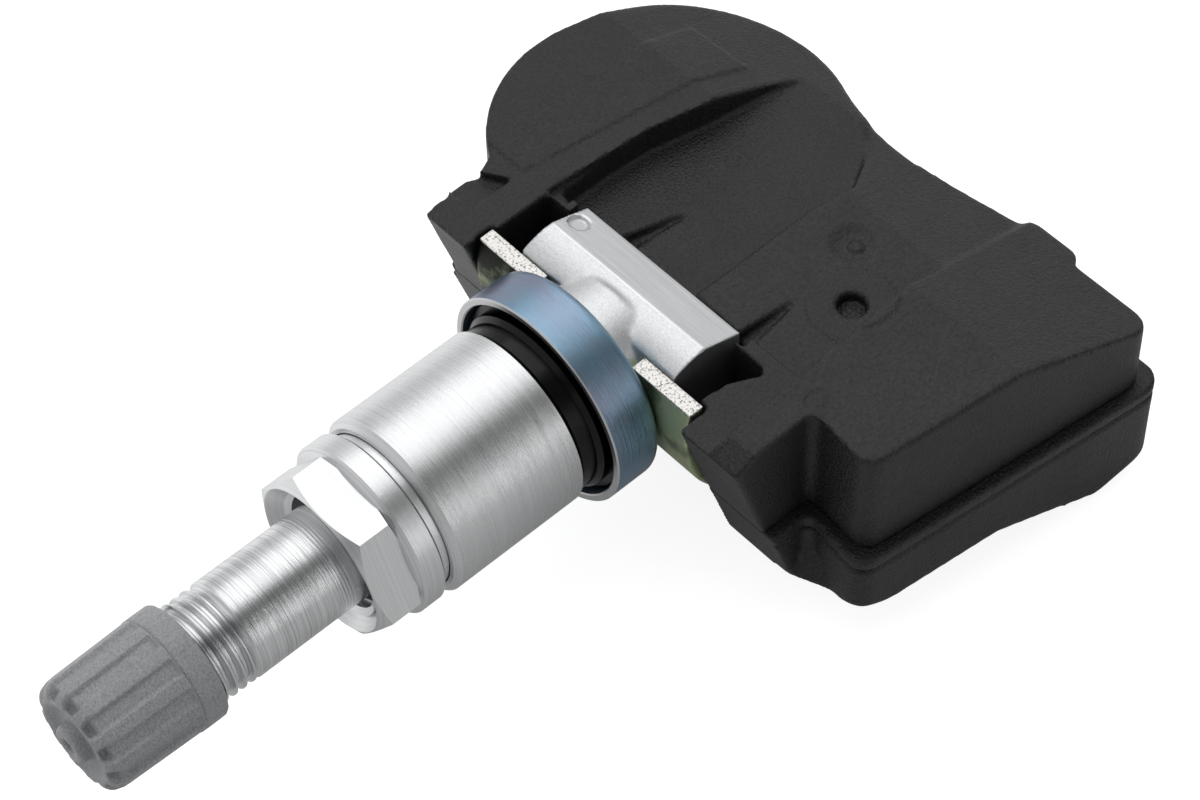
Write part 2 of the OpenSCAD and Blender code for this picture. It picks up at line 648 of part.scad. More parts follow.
// Sleeve that presses on the rubber; the nut turns inside its lip
module clamp_sleeve() color("#bfc2c5") turned([
    [nut_neck_d / 2 + run_gap, -sleeve_l], [sleeve_d / 2 - lead, -sleeve_l],
    [sleeve_d / 2, -sleeve_l + lead], [sleeve_d / 2, 0], [sleeve_bore_r, 0],
    [sleeve_bore_r, flange_rear + face_gap],
    [nut_flange_d / 2 + run_gap, flange_rear + face_gap],
    [nut_flange_d / 2 + run_gap, flange_front - face_gap],
    [nut_neck_d / 2 + run_gap, flange_front - face_gap]]);

// Rubber grommet that seals the wheel's valve hole
module grommet() color("#141416") {
    flange_r = ring_d / 2 - ring_t - fit_gap;
    step_r = rubber_step_d / 2;
    turned([
        [stem_neck_d / 2 + fit_gap, seat_gap], [step_r - rubber_bend, seat_gap],
        [step_r, seat_gap + rubber_bend], [step_r, rubber_step_l],
        [step_r + rubber_bend, rubber_step_l + rubber_bend], [step_r + rubber_bend, rubber_front],
        [flange_r - edge, rubber_front], [flange_r, rubber_front + edge],
        [flange_r, ring_floor], [stem_neck_d / 2 + fit_gap, ring_floor]]);
}

// Steel ring that the rubber sits in
module support_ring() color("#6f93ad") {
    ring_r = ring_d / 2;
    turned(concat(
        [[ring_r - ring_t, ring_floor], [ring_r - ring_t, ring_front + edge / 2],
            [ring_r - ring_t + edge / 2, ring_front], [ring_r - edge / 2, ring_front],
            [ring_r, ring_front + edge / 2]],
        [for (a = [0:15:90])
            [ring_r + ring_bend_r * (cos(a) - 1), ring_rear + ring_bend_r * (sin(a) - 1)]],
        [[stem_neck_d / 2 + 2 * fit_gap, ring_rear], [stem_neck_d / 2 + 2 * fit_gap, ring_floor]]));
}

// Bent sheet between the ring and the cross bar, which hooks the housing
module retainer_plate() color("#a9b3a0") difference() {
    intersection() {
        translate([0, plate_axis_y, plate_bend_z]) rotate([0, 90, 0]) difference() {
            cylinder(r = plate_bend_r, h = 2 * plate_half, center = true, $fn = 96);
            cylinder(r = plate_inner_r, h = far, center = true, $fn = 96);
        }
        translate([-far / 2, 0, -plate_low]) cube([far, foot_y, plate_low + plate_top]);
    }
    bore(stem_neck_d / 2 + 2 * nest_gap, 0, foot_y);
}

// Upper shell: arms, rail, deck and block in one moulding
module upper_shell() color("#232426") difference() {
    intersection() {
        plan(0, -split_low, block_top);
        below_bend(0);
    }
    shell_tops();
    front_cut();
    nest();
    upper_cavity();
    port_recess();
    for (p = posts) translate([p.x, p.y, -split_low - 1]) cylinder(d = post_d, h = split_low);
}

// Steps of the upper face, from the rail down to the recess
module shell_tops() {
    strip_end = strip_x - (far - arm_front) * tan(strip_turn);
    translate([0, 0, arm_top]) linear_extrude(far)
        polygon([[-far, -5], [strip_x, -5], [strip_x, arm_front], [strip_end, far], [-far, far]]);
    translate([0, 0, deck_top]) linear_extrude(far)
        polygon(concat(rail_edge, [[rail_edge[5].x, far], [strip_end, far],
            [strip_x - (pocket_rear - arm_front) * tan(strip_turn), pocket_rear], [-9, pocket_rear],
            [-9, rail_edge[0].y]]));
    translate([0, 0, recess_top]) linear_extrude(far)
        polygon(concat([[-10.4, pocket_rear - 0.4]], [for (i = [1:5]) rail_edge[i]],
            [[rail_edge[5].x, far], [recess_edge[0].x, far]], recess_edge));
    // The deck stays a little under the block where both bend down
    difference() {
        linear_extrude(far) polygon([recess_edge[0], recess_edge[1], recess_edge[2],
            [recess_edge[2].x, bend_y], [strip_x - (bend_y - arm_front) * tan(strip_turn), bend_y],
            [strip_end, far], [recess_edge[0].x, far]]);
        below_bend(deck_drop);
    }
    // Ramp at the front of the block's inner strip
    translate([strip_x, arm_front, arm_top]) rotate([atan((block_top - arm_top) / ramp_l), 0, 0])
        translate([0, -10, 0]) cube([arm_out - strip_x + 1, 10 + ramp_l + 0.1, 5]);
    // Lower facet outside the left arm
    translate([0, 0, arm_top - facet_t]) linear_extrude(far) polygon([[-left_out + 1.8, arm_front + 2.8],
        [-left_out + 1.8, arm_front + 6.7], [-left_out - 0.2, arm_front + 5.5],
        [-left_out - 3, arm_front + 5.5], [-left_out - 3, arm_front + 2.8]]);
    // Tapered recesses that run away from the cross bar
    taper([[-6.1, pocket_rear - 1], [-4.6, pocket_rear - 1], [-3.6, pocket_rear + 7.6]], recess_top);
    taper([[7.4, pocket_rear - 1], [9, pocket_rear - 1], [8.2, pocket_rear + 6]], deck_top);
    // Dimple round the moulding gate
    translate([gate.x, gate.y, deck_top + gate_r - gate_t]) sphere(r = gate_r);
}

// A recess with a floor that rises from the cross bar to its pointed end
module taper(points, top) intersection() {
    translate([0, 0, top - taper_t]) linear_extrude(far) polygon(points);
    side_prism([[pocket_rear - 1.1, top - taper_t], [points[2].y, top], [points[2].y, far],
        [pocket_rear - 1.1, far]]);
}

// Port for the air, with its raised rim inside
module port_recess() translate([port.x, port.y, 0]) cylinder(d = port_d, h = far);

// Hollow of the upper shell under each of its tops
module upper_cavity() difference() {
    intersection() {
        plan(-wall, -split_low - 1, block_top);
        below_bend(wall / cos(bend_angle));
        union() {
            translate([-far / 2, pocket_rear + wall, -far / 2]) cube([far, far, far]);
            translate([arm_out - wall, block_y, -far / 2]) cube([far, far, far]);
        }
        union() {
            translate([-far / 2, 0, -20]) cube([far, far, 20 + recess_top - wall]);
            translate([-far - left_out + wall, 0, -20]) cube([far, far, 20 + arm_top - wall]);
            translate([recess_edge[3].x + wall + 0.6, 0, -20]) cube([far, far, 20 + deck_under]);
            translate([strip_x + wall + 0.8, 0, -20]) cube([far, far, 20 + block_top - wall]);
        }
    }
    // Guide ring for the port's seal
    translate([port.x, port.y, 0]) difference() {
        cylinder(r = port_seal_r + wall, h = block_top);
        cylinder(r = port_seal_r + fit_gap, h = block_top);
    }
}

// Tray that closes the housing from below
module lower_tray() color("#1d1e20") difference() {
    union() {
        difference() {
            intersection() {
                plan(ledge, -under_low - 8, -split_low);
                side_view(0);
            }
            intersection() {
                plan(ledge - wall, -under_low - 8, -split_low + 1);
                side_view(wall);
                union() {
                    translate([-far / 2, pocket_rear + wall, -far / 2]) cube([far, far, far]);
                    translate([arm_out - wall, block_y, -far / 2]) cube([far, far, far]);
                }
            }
            joint_groove();
        }
        intersection() {
            plan(ledge, -under_low - 8, -split_low);
            side_view(0);
            tray_seat();
        }
        intersection() {
            for (p = posts) translate([p.x, p.y, 0]) post();
            side_view(0);
        }
        gusset();
    }
    front_cut();
    nest();
}

// Groove under the bead along the joint
module joint_groove() difference() {
    plan(ledge + 2, -split_low - bead_h - 0.4, -split_low - bead_h);
    plan(ledge - 0.3, -under_low, 0);
}

// Leaning web in the corner between the right arm and the block
module gusset() intersection() {
    translate([arm_out + ledge - 0.1, floor_front - 1.5, -under_low]) rotate([0, 0, 22])
        rotate([90, 0, 90]) translate([0, 0, -2]) linear_extrude(8)
            polygon([[0, 0], [gusset_h * tan(gusset_lean), gusset_h], [4, gusset_h], [4, 0]]);
    translate([0, 0, -under_low]) linear_extrude(gusset_h)
        polygon([[arm_out, 9], [block_b.x + ledge - 1.4, 9], [block_b.x + ledge - 1.4, block_b.y],
            [arm_out, block_y]]);
}

// Ring that carries the coin cell
module tray_seat() translate([cell_x, cell_y, -under_low - 8]) difference() {
    cylinder(r = cell_d / 2 - 1.5, h = cell_bottom - tab_t + under_low + 8);
    translate([0, 0, -1]) cylinder(r = cell_d / 2 - 3, h = far);
}

// Post with a pin that locates the board
module post() {
    translate([0, 0, -under_low - 8]) cylinder(d = post_d, h = under_low + 8 - board_low);
    translate([0, 0, -board_low - 1]) cylinder(d = pin_d, h = board_t + 1.4);
}

// Circuit board inside both shells
module circuit_board() color("#1f5a3a") difference() {
    intersection() {
        plan(-wall - 0.5, -board_low, board_top);
        translate([-far / 2, board_front, -far / 2]) cube([far, far, far]);
    }
    for (p = posts) translate([p.x, p.y, -board_low - 1]) cylinder(d = pin_d + 2 * fit_gap, h = board_t + 2);
}

// Coin cell with its stepped can
module coin_cell() color("#b9bcc0") translate([cell_x, cell_y, cell_bottom]) rotate_extrude($fn = 96)
    polygon([[0, 0], [cell_d / 2 - 0.3, 0], [cell_d / 2, 0.3], [cell_d / 2, cell_t - 0.4],
        [cell_d / 2 - 0.3, cell_t - 0.1], [cell_d / 2 - 1.2, cell_t - 0.1], [cell_d / 2 - 1.3, cell_t],
        [0, cell_t]]);

// Tab welded on the cell's upper face and soldered to the board
module cell_tab_upper() color("#c8cacc") translate([cell_x, cell_y, 0]) {
    tab_end = 0.4 * cell_d;
    translate([-tab_w, -tab_w, cell_top]) cube([tab_w + tab_end, tab_w, tab_t]);
    translate([tab_end - tab_t, -tab_w, cell_top]) cube([tab_t, tab_w, -board_low - cell_top]);
}

// Tab under the cell, which rises beside it to the board
module cell_tab_lower() color("#c8cacc") translate([cell_x, cell_y, 0]) {
    tab_x = cell_d / 2 + fit_gap;
    translate([-tab_w, tab_w / 2, cell_bottom - tab_t]) cube([tab_w + tab_x + tab_t, tab_w, tab_t]);
    translate([tab_x, tab_w / 2, cell_bottom - tab_t])
        cube([tab_t, tab_w, -board_low - cell_bottom + tab_t]);
}

// Pressure sensor package with a round mouth on its lid
module pressure_sensor() color("#2e3033") translate([port.x, port.y, board_top]) difference() {
    translate([-chip_w / 2, -chip_w / 2, 0]) cube([chip_w, chip_w, chip_h]);
    translate([0, 0, chip_h - 0.6]) cylinder(d = port_d - 0.6, h = 1);
}

// Rubber tube between the port and the sensor package
module port_seal() color("#303236") translate([port.x, port.y, board_top + chip_h]) difference() {
    cylinder(r = port_seal_r, h = deck_under - board_top - chip_h);
    translate([0, 0, -1]) cylinder(d = port_d + 0.2, h = far);
}

// Ferrite core of the low-frequency coil, under the board
module coil_core() color("#3a3a3e") translate([coil_at.x, coil_at.y, -board_low]) mirror([0, 0, 1]) {
    cube([coil_w, coil_flange_t, coil_h]);
    translate([0, coil_l - coil_flange_t, 0]) cube([coil_w, coil_flange_t, coil_h]);
    translate([(coil_w - coil_rod_w) / 2, coil_flange_t, (coil_h - coil_rod_w) / 2])
        cube([coil_rod_w, coil_l - 2 * coil_flange_t, coil_rod_w]);
}

// Copper winding on the ferrite core
module coil_winding() color("#b06a35")
    translate([coil_at.x + coil_w / 2, coil_at.y + coil_flange_t + fit_gap, -board_low - coil_h / 2]) {
        inner = coil_rod_w + 2 * fit_gap;
        outer = inner + 2 * winding_t;
        rotate([-90, 0, 0]) linear_extrude(coil_l - 2 * (coil_flange_t + fit_gap)) difference() {
            square(outer, center = true);
            square(inner, center = true);
        }
    }

// Sheet aerial that stands on the board along the block's outer wall
module aerial_strip() color("#c9a227") translate([block_b.x, block_b.y, board_top])
    rotate([0, 0, -block_turn]) translate([-wall - 2.2, (block_rear - block_b.y) / 4, 0]) {
        cube([tab_t, aerial_l, aerial_h]);
        translate([-2, 0, aerial_h - tab_t]) cube([2, aerial_l, tab_t]);
        translate([-2, 0, 0]) cube([tab_t, 1, aerial_h]);
    }

// Timing crystal on the board
module crystal() color("#c4c6c8")
    translate([coil_at.x - crystal_l + 0.6, coil_at.y + coil_l - crystal_l, board_top])
        cube([crystal_l, 0.8 * crystal_l, 0.3 * crystal_l]);

// Capacitors on the board
module capacitors() color("#9a7b4f")
    for (i = [0:3]) translate([6.2 + 1.5 * capacitor_l * i, board_front + 0.7, board_top])
        cube([capacitor_l, capacitor_l / 2, capacitor_l / 2]);

valve_cap();
cap_seal();
valve_stem();
core_plug();
core_barrel();
core_gasket();
core_pin();
core_spring();
core_cup();
core_seal();
hex_nut();
clamp_sleeve();
grommet();
support_ring();
retainer_plate();
upper_shell();
lower_tray();
circuit_board();
coin_cell();
cell_tab_upper();
cell_tab_lower();
pressure_sensor();
port_seal();
coil_core();
coil_winding();
aerial_strip();
crystal();
capacitors();
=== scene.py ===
# %% [markdown]
# # A tyre pressure sensor, dressed for its picture
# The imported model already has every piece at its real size. This lesson sets the camera, the
# light and the finishes around it, and adds the forms that are too fine for the solids.

# %% Load the frame
import math

import bmesh
import bpy
from mathutils import Matrix, Vector
from mathutils.geometry import intersect_point_quad_2d


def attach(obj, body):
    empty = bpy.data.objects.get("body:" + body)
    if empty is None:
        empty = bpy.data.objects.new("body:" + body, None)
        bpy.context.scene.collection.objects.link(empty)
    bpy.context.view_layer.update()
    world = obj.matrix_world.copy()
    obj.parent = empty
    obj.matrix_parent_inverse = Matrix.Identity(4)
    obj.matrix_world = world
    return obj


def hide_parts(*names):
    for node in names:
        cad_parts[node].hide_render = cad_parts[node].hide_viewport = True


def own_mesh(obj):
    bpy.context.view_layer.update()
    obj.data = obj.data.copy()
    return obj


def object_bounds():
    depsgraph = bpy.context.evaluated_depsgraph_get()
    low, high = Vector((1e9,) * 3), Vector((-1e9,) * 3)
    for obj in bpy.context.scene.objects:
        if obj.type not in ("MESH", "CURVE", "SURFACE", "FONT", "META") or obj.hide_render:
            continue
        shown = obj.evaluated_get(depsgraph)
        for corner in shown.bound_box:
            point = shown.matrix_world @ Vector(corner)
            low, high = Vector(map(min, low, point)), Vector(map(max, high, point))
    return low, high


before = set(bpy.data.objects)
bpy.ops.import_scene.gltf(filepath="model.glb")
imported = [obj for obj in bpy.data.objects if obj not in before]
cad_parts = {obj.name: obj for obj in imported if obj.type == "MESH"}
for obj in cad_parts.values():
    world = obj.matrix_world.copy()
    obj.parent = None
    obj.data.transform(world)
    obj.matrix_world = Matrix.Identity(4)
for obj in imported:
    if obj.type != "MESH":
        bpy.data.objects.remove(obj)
cad_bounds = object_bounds()
MM = 0.001

# %% [markdown]
# The camera stands to the right of the valve's tip and well above it, as in the photograph. It
# could be placed by coordinates, but an aim point on the sensor, two angles, a small roll and a
# distance can be read and changed one at a time.

# %% Camera
AIM = Vector((-0.41, 8.30, -5.98)) * MM
AZIMUTH, ELEVATION, ROLL = (math.radians(a) for a in (49.05, 53.06, -1.97))
DISTANCE = 257.35 * MM
FOCAL_LENGTH, SENSOR_WIDTH = 107.28, 36
NEAREST = 10 * MM

back = Vector((
    math.sin(AZIMUTH) * math.cos(ELEVATION),
    -math.cos(AZIMUTH) * math.cos(ELEVATION),
    math.sin(ELEVATION),
))
level = Vector((math.cos(AZIMUTH), math.sin(AZIMUTH), 0))
upright = back.cross(level)
right = level * math.cos(ROLL) + upright * math.sin(ROLL)
up = upright * math.cos(ROLL) - level * math.sin(ROLL)

lens = bpy.data.cameras.new("camera")
lens.lens, lens.sensor_width, lens.clip_start = FOCAL_LENGTH, SENSOR_WIDTH, NEAREST
camera = bpy.data.objects.new("camera", lens)
stance = Matrix((right, up, back)).transposed().to_4x4()
camera.matrix_world = Matrix.Translation(AIM + back * DISTANCE) @ stance
bpy.context.collection.objects.link(camera)
bpy.context.scene.camera = camera
print("camera at", [round(c / MM, 1) for c in camera.matrix_world.translation], "mm")

# %% [markdown]
# Materials are built from nodes. Small helpers keep that readable: one turns the hex colours that
# people write into the linear values that Blender computes with, one adds a node with its
# settings and links, and the others work out a pattern's scale and a ramp's stops.

# %% Helpers for materials


def paint(text):
    """A hex sRGB colour as a linear RGBA value."""
    values = [int(text[i:i + 2], 16) / 255 for i in (1, 3, 5)]
    return [v / 12.92 if v <= 0.04045 else ((v + 0.055) / 1.055) ** 2.4 for v in values] + [1]


def add(tree, kind, settings=None, **inputs):
    """Adds a node. settings are its own properties; inputs are values or the sockets that feed
    it, each under its socket's name, or under _ and its number where names repeat."""
    node = tree.nodes.new("ShaderNode" + kind)
    for name, value in (settings or {}).items():
        setattr(node, name, value)
    for name, value in inputs.items():
        socket = node.inputs[int(name[1:]) if name[0] == "_" else name.replace("_", " ")]
        if isinstance(value, bpy.types.NodeSocket):
            tree.links.new(value, socket)
        else:
            socket.default_value = value
    return node


def start(name):
    """A new material with an empty tree, and the object's own coordinates in it."""
    material = bpy.data.materials.new(name)
    material.use_nodes = True
    tree = material.node_tree
    tree.nodes.clear()
    return material, tree, add(tree, "TexCoord").outputs["Object"]


def cells(x_mm, y_mm, z_mm):
    """A Mapping node's scale, from the real size of a pattern's cells along each axis."""
    return [1 / (size * MM) for size in (x_mm, y_mm, z_mm)]


def set_stops(ramp, *stops):
    """Gives a ColorRamp node its stops, each a place from 0 to 1 and a linear colour."""
    elements = ramp.color_ramp.elements
    for number, (at, colour) in enumerate(stops):
        stop = elements[number] if number < 2 else elements.new(at)
        stop.position, stop.color = at, colour


print("white is", paint("#ffffff"), "and middle grey is", [round(v, 3) for v in paint("#808080")])

# %% [markdown]
# Stem, nut and sleeve are aluminium turned from bar. The tool leaves fine rings round the axis,
# which spread a highlight along the valve. They could be modelled, but they are a tenth of a
# millimetre apart. A noise that is stretched round the valve and squeezed along it gives rings
# of uneven depth, so the highlights sparkle and break up as the real ones do.

# %% Turned aluminium
# How far one ring's tone runs on round the valve, and how wide the metal's own grain is
ROUND_MM = 16.67
METAL_GRAIN = (0.2, 1 / 9, 0.2)


def turned_metal(name, bright, dull, roughness, ring_mm, depth, grain_share):
    material, tree, place = start(name)
    around = add(tree, "Mapping", Vector=place, Scale=cells(ROUND_MM, ring_mm, ROUND_MM))
    rings = add(tree, "TexNoise", Vector=around.outputs[0], Scale=1.0, Detail=3.0, Roughness=0.65)
    fine = add(tree, "Mapping", Vector=place, Scale=cells(*METAL_GRAIN))
    grain = add(tree, "TexNoise", Vector=fine.outputs[0], Scale=1.0, Detail=2.0)
    height = add(tree, "Math", {"operation": "MULTIPLY_ADD"}, _0=grain.outputs[0],
                 _1=grain_share, _2=rings.outputs[0])
    bump = add(tree, "Bump", Strength=depth, Distance=0.04 * MM, Height=height.outputs[0])
    uneven = add(tree, "MapRange", Value=rings.outputs[0], To_Min=roughness * 0.8,
                 To_Max=roughness * 1.25)
    tone = add(tree, "ValToRGB", Fac=rings.outputs[0])
    set_stops(tone, (0.3, paint(dull)), (0.6, paint(bright)))
    metal = add(tree, "BsdfPrincipled", Base_Color=tone.outputs[0], Metallic=1.0,
                Roughness=uneven.outputs[0], Normal=bump.outputs[0])
    add(tree, "OutputMaterial", Surface=metal.outputs[0])
    return material


# The stem is turned with a pointed tool, which leaves deep rings with dull bottoms
stem_metal = turned_metal("turned_aluminium_stem", "#e2e3e4", "#aeb0b2", 0.22, 0.13, 1.0, 0.05)
# The nut is turned more finely and then tumbled, which leaves more grain than rings
nut_metal = turned_metal("turned_aluminium_nut", "#e0e1e2", "#cfd1d2", 0.3, 0.1, 0.3, 0.9)
# The sleeve is brushed round after turning, which leaves close, shallow, even lines
sleeve_metal = turned_metal(
    "brushed_aluminium_sleeve", "#dcddde", "#c9cbcd", 0.27, 0.06, 0.4, 0.6)
print("three turned finishes, with rings 0.06 to 0.13 mm apart")

# %% [markdown]
# The cross bar is aluminium blasted with fine grit, which gives a white satin. Its long flat is
# milled after that, so it shines more and keeps straight lines along the bar. Two materials would
# need the flat as faces of its own, so one material tells the flat by its place instead.

# %% Blasted aluminium
GRIT_MM, LINE_MM, ALONG_MM = 1 / 7, 1 / 9, 6.667
# The flat faces this way in y and z, and everything beyond this distance that way lies on it
FLAT_TILT = math.radians(19)
FLAT_WAY = (math.sin(FLAT_TILT), math.cos(FLAT_TILT))
FLAT_AT = (10.8 * FLAT_WAY[0] + 5.16) * MM

bar_metal, tree, place = start("blasted_aluminium_bar")
flat = add(tree, "VectorMath", {"operation": "DOT_PRODUCT"}, _0=place, _1=(0, *FLAT_WAY))
milled = add(tree, "Math", {"operation": "GREATER_THAN"}, _0=flat.outputs["Value"], _1=FLAT_AT)
even = add(tree, "Mapping", Vector=place, Scale=cells(GRIT_MM, GRIT_MM, GRIT_MM))
grit = add(tree, "TexNoise", Vector=even.outputs[0], Scale=1.0, Detail=3.0, Roughness=0.6)
drawn = add(tree, "Mapping", Vector=place, Scale=cells(ALONG_MM, LINE_MM, LINE_MM))
lines = add(tree, "TexNoise", Vector=drawn.outputs[0], Scale=1.0, Detail=3.0, Roughness=0.6)
height = add(tree, "Mix", {"data_type": "FLOAT"}, Factor=milled.outputs[0],
             A=grit.outputs[0], B=lines.outputs[0])
bump = add(tree, "Bump", Strength=0.4, Distance=0.03 * MM, Height=height.outputs[0])
gloss = add(tree, "MapRange", Value=milled.outputs[0], To_Min=0.44, To_Max=0.3)
tone = add(tree, "ValToRGB", Fac=height.outputs[0])
set_stops(tone, (0.3, paint("#c9cbcd")), (0.7, paint("#e2e3e5")))
metal = add(tree, "BsdfPrincipled", Base_Color=tone.outputs[0], Metallic=1.0,
            Roughness=gloss.outputs[0], Normal=bump.outputs[0])
add(tree, "OutputMaterial", Surface=metal.outputs[0])
print("blasted finish, with its flat milled beyond", round(FLAT_AT / MM, 2), "mm")

# %% [markdown]
# The ring is steel with a thin blue passivation. The film's colour drifts a little with its
# thickness, from violet through blue to a grey green, and fine lines run round it from the
# polishing belt. A slow noise through a ramp gives that drift. The front rim is plain silver grey.

# %% Blue passivated steel
FILM_MM, BELT_MM, BELT_ROUND_MM = (8.333, 5.556, 8.333), 0.125, 3.333
RIM_AT = 2.16 * MM

ring_steel, tree, place = start("blue_passivated_steel")
slow = add(tree, "Mapping", Vector=place, Scale=cells(*FILM_MM))
film = add(tree, "TexNoise", Vector=slow.outputs[0], Scale=1.0, Detail=2.0)
around = add(tree, "Mapping", Vector=place, Scale=cells(BELT_ROUND_MM, BELT_MM, BELT_ROUND_MM))
belt = add(tree, "TexNoise", Vector=around.outputs[0], Scale=1.0, Detail=3.0, Roughness=0.7)
blue = add(tree, "ValToRGB", Fac=film.outputs[0])
set_stops(blue, (0.32, paint("#8f92aa")), (0.46, paint("#879cb1")), (0.58, paint("#82a3ba")),
          (0.7, paint("#9aaeb6")))
station = add(tree, "SeparateXYZ", Vector=place)
rim = add(tree, "Math", {"operation": "LESS_THAN"}, _0=station.outputs[1], _1=RIM_AT)
tone = add(tree, "Mix", {"data_type": "RGBA"}, _0=rim.outputs[0], _6=blue.outputs[0],
           _7=paint("#c9cacb"))
bump = add(tree, "Bump", Strength=0.8, Distance=0.04 * MM, Height=belt.outputs[0])
uneven = add(tree, "MapRange", Value=belt.outputs[0], To_Min=0.26, To_Max=0.42)
metal = add(tree, "BsdfPrincipled", Base_Color=tone.outputs[2], Metallic=1.0,
            Roughness=uneven.outputs[0], Normal=bump.outputs[0])
add(tree, "OutputMaterial", Surface=metal.outputs[0])
print("blue film, rubbed off in front of", round(RIM_AT / MM, 2), "mm")

# %% [markdown]
# The plate is steel with a thin greenish chromate over its zinc. It is punched out after that, so
# the upper edge shows bare steel, torn a little by the punch. As on the bar, one material tells
# the edge by its height. Its colour is painted darker towards the round lobe, as painted shade on
# the side in shadow, and paler towards the block, as a painted reflection on its curved face.

# %% Chromated steel
PLATE_TOP = 4.45 * MM
# How fast along x the colour turns from painted shade on the lobe's side to a painted reflection
# on the block's side
PAINTED_LIGHT_DRIFT = 16
PATCH_MM, TEAR_MM = 2.5, 0.2

plate_steel, tree, place = start("chromated_steel_plate")
station = add(tree, "SeparateXYZ", Vector=place)
cut = add(tree, "Math", {"operation": "GREATER_THAN"}, _0=station.outputs[2], _1=PLATE_TOP)
slow = add(tree, "Mapping", Vector=place, Scale=cells(PATCH_MM, PATCH_MM, PATCH_MM))
film = add(tree, "TexNoise", Vector=slow.outputs[0], Scale=1.0, Detail=3.0)
# The drift along x is painted light, added to the film's own noise: shade towards the lobe, a
# reflection towards the block
film_and_painted_light = add(tree, "Math", {"operation": "MULTIPLY_ADD"}, _0=station.outputs[0], _1=PAINTED_LIGHT_DRIFT,
            _2=film.outputs[0])
green = add(tree, "ValToRGB", Fac=film_and_painted_light.outputs[0])
set_stops(green, (0.3, paint("#1d2019")), (0.66, paint("#b4c09c")))
fine = add(tree, "Mapping", Vector=place, Scale=cells(TEAR_MM, TEAR_MM, TEAR_MM))
pits = add(tree, "TexNoise", Vector=fine.outputs[0], Scale=1.0, Detail=3.0, Roughness=0.7)
bare = add(tree, "ValToRGB", Fac=pits.outputs[0])
set_stops(bare, (0.38, paint("#77746f")), (0.47, paint("#dddbd8")))
tone = add(tree, "Mix", {"data_type": "RGBA"}, _0=cut.outputs[0], _6=green.outputs[0],
           _7=bare.outputs[0])
bump = add(tree, "Bump", Strength=0.8, Distance=0.05 * MM, Height=pits.outputs[0])
gloss = add(tree, "MapRange", Value=cut.outputs[0], To_Min=0.5, To_Max=0.38)
metal = add(tree, "BsdfPrincipled", Base_Color=tone.outputs[2], Metallic=1.0,
            Roughness=gloss.outputs[0], Normal=bump.outputs[0])
add(tree, "OutputMaterial", Surface=metal.outputs[0])
print("plate finish, cut bare above", round(PLATE_TOP / MM, 2), "mm")

# %% [markdown]
# Every plastic and rubber here takes its surface from its mould, so one function makes them all:
# a fine grain for the mould's own texture, and slow clouds of more and less gloss, where the melt
# met the steel a little warmer or cooler. Only the colours, the grain and the gloss differ.

# %% Moulded surfaces
CLOUD_MM = 3.333
CLOUD_GLOSS = 0.06


def moulded(name, dark, light, roughness, grain_mm, depth, specular=0.5):
    material, tree, place = start(name)
    fine = add(tree, "Mapping", Vector=place, Scale=cells(grain_mm, grain_mm, grain_mm))
    grain = add(tree, "TexNoise", Vector=fine.outputs[0], Scale=1.0, Detail=3.0, Roughness=0.6)
    slow = add(tree, "Mapping", Vector=place, Scale=cells(CLOUD_MM, CLOUD_MM, CLOUD_MM))
    cloud = add(tree, "TexNoise", Vector=slow.outputs[0], Scale=1.0, Detail=3.0)
    # The wider filter keeps the bump even over the whole piece, which is far larger than a grain
    bump = add(tree, "Bump", Strength=depth, Distance=0.14 * MM, Filter_Width=1.0,
               Height=grain.outputs[0])
    uneven = add(tree, "MapRange", Value=cloud.outputs[0], To_Min=roughness - CLOUD_GLOSS,
                 To_Max=roughness + CLOUD_GLOSS)
    tone = add(tree, "ValToRGB", Fac=grain.outputs[0])
    set_stops(tone, (0.35, paint(dark)), (0.65, paint(light)))
    plastic = add(tree, "BsdfPrincipled", Base_Color=tone.outputs[0],
                  Roughness=uneven.outputs[0], Specular_IOR_Level=specular,
                  Normal=bump.outputs[0])
    add(tree, "OutputMaterial", Surface=plastic.outputs[0])
    return material


# Glass-filled nylon from a spark-eroded mould: matt black. Its lighter speckle is partly glass
# near the surface and partly painted glints. Its grain is about 0.15 mm wide, and drawn at 0.2 mm
# so that it shows.
housing_plastic = moulded(
    "moulded_glass_filled_nylon", "#09090a", "#2a2a2b", 0.47, 0.2, 0.9, 0.42)
# The cap's grey plastic, from a mould with a finer grain of that kind: pale, dull and even
cap_plastic = moulded("moulded_grey_cap_plastic", "#8f9093", "#b4b5b8", 0.38, 0.14, 0.8)
# EPDM rubber from a polished mould: deep black and smooth, with soft highlights
rubber = moulded("moulded_epdm_rubber", "#020203", "#040405", 0.2, 0.5, 0.03, 0.22)
# The core's gasket is a dull red rubber from a plain mould
red_rubber = moulded("moulded_red_rubber", "#7a2a26", "#8c322c", 0.5, 0.3, 0.1)
print("housing, cap and rubber finishes made")

# %% [markdown]
# The parts inside aren't moulded alike, but at their size they look alike: an even, slightly
# speckled surface. The same function serves them, with their own colours and gloss.

# %% Surfaces inside
# Filled epoxy pressed round a chip: dark grey and matt
package_plastic = moulded("moulded_epoxy_package", "#222326", "#2a2b2e", 0.6, 0.2, 0.2)
# Pressed and sintered iron oxide powder: grey-black, with a fine tooth
ferrite = moulded("sintered_ferrite", "#36373a", "#424347", 0.65, 0.15, 0.3)
# Solder resist, a lacquer that is printed and cured: green and rather glossy
board_resist = moulded("green_solder_resist", "#14492c", "#1b5a38", 0.35, 0.4, 0.1)
# Fired ceramic, the body of a chip capacitor: tan and half matt
ceramic = moulded("tan_capacitor_ceramic", "#8a6a45", "#9c7a52", 0.5, 0.2, 0.1)
print("package, ferrite, resist and ceramic finishes made")

# %% [markdown]
# The small metal parts inside are too small for tool marks to show. A fine even grain keeps them
# from looking like mirrors, and one function gives it in each metal's own colour.

# %% Small metal parts
SMALL_GRAIN_MM = 0.3


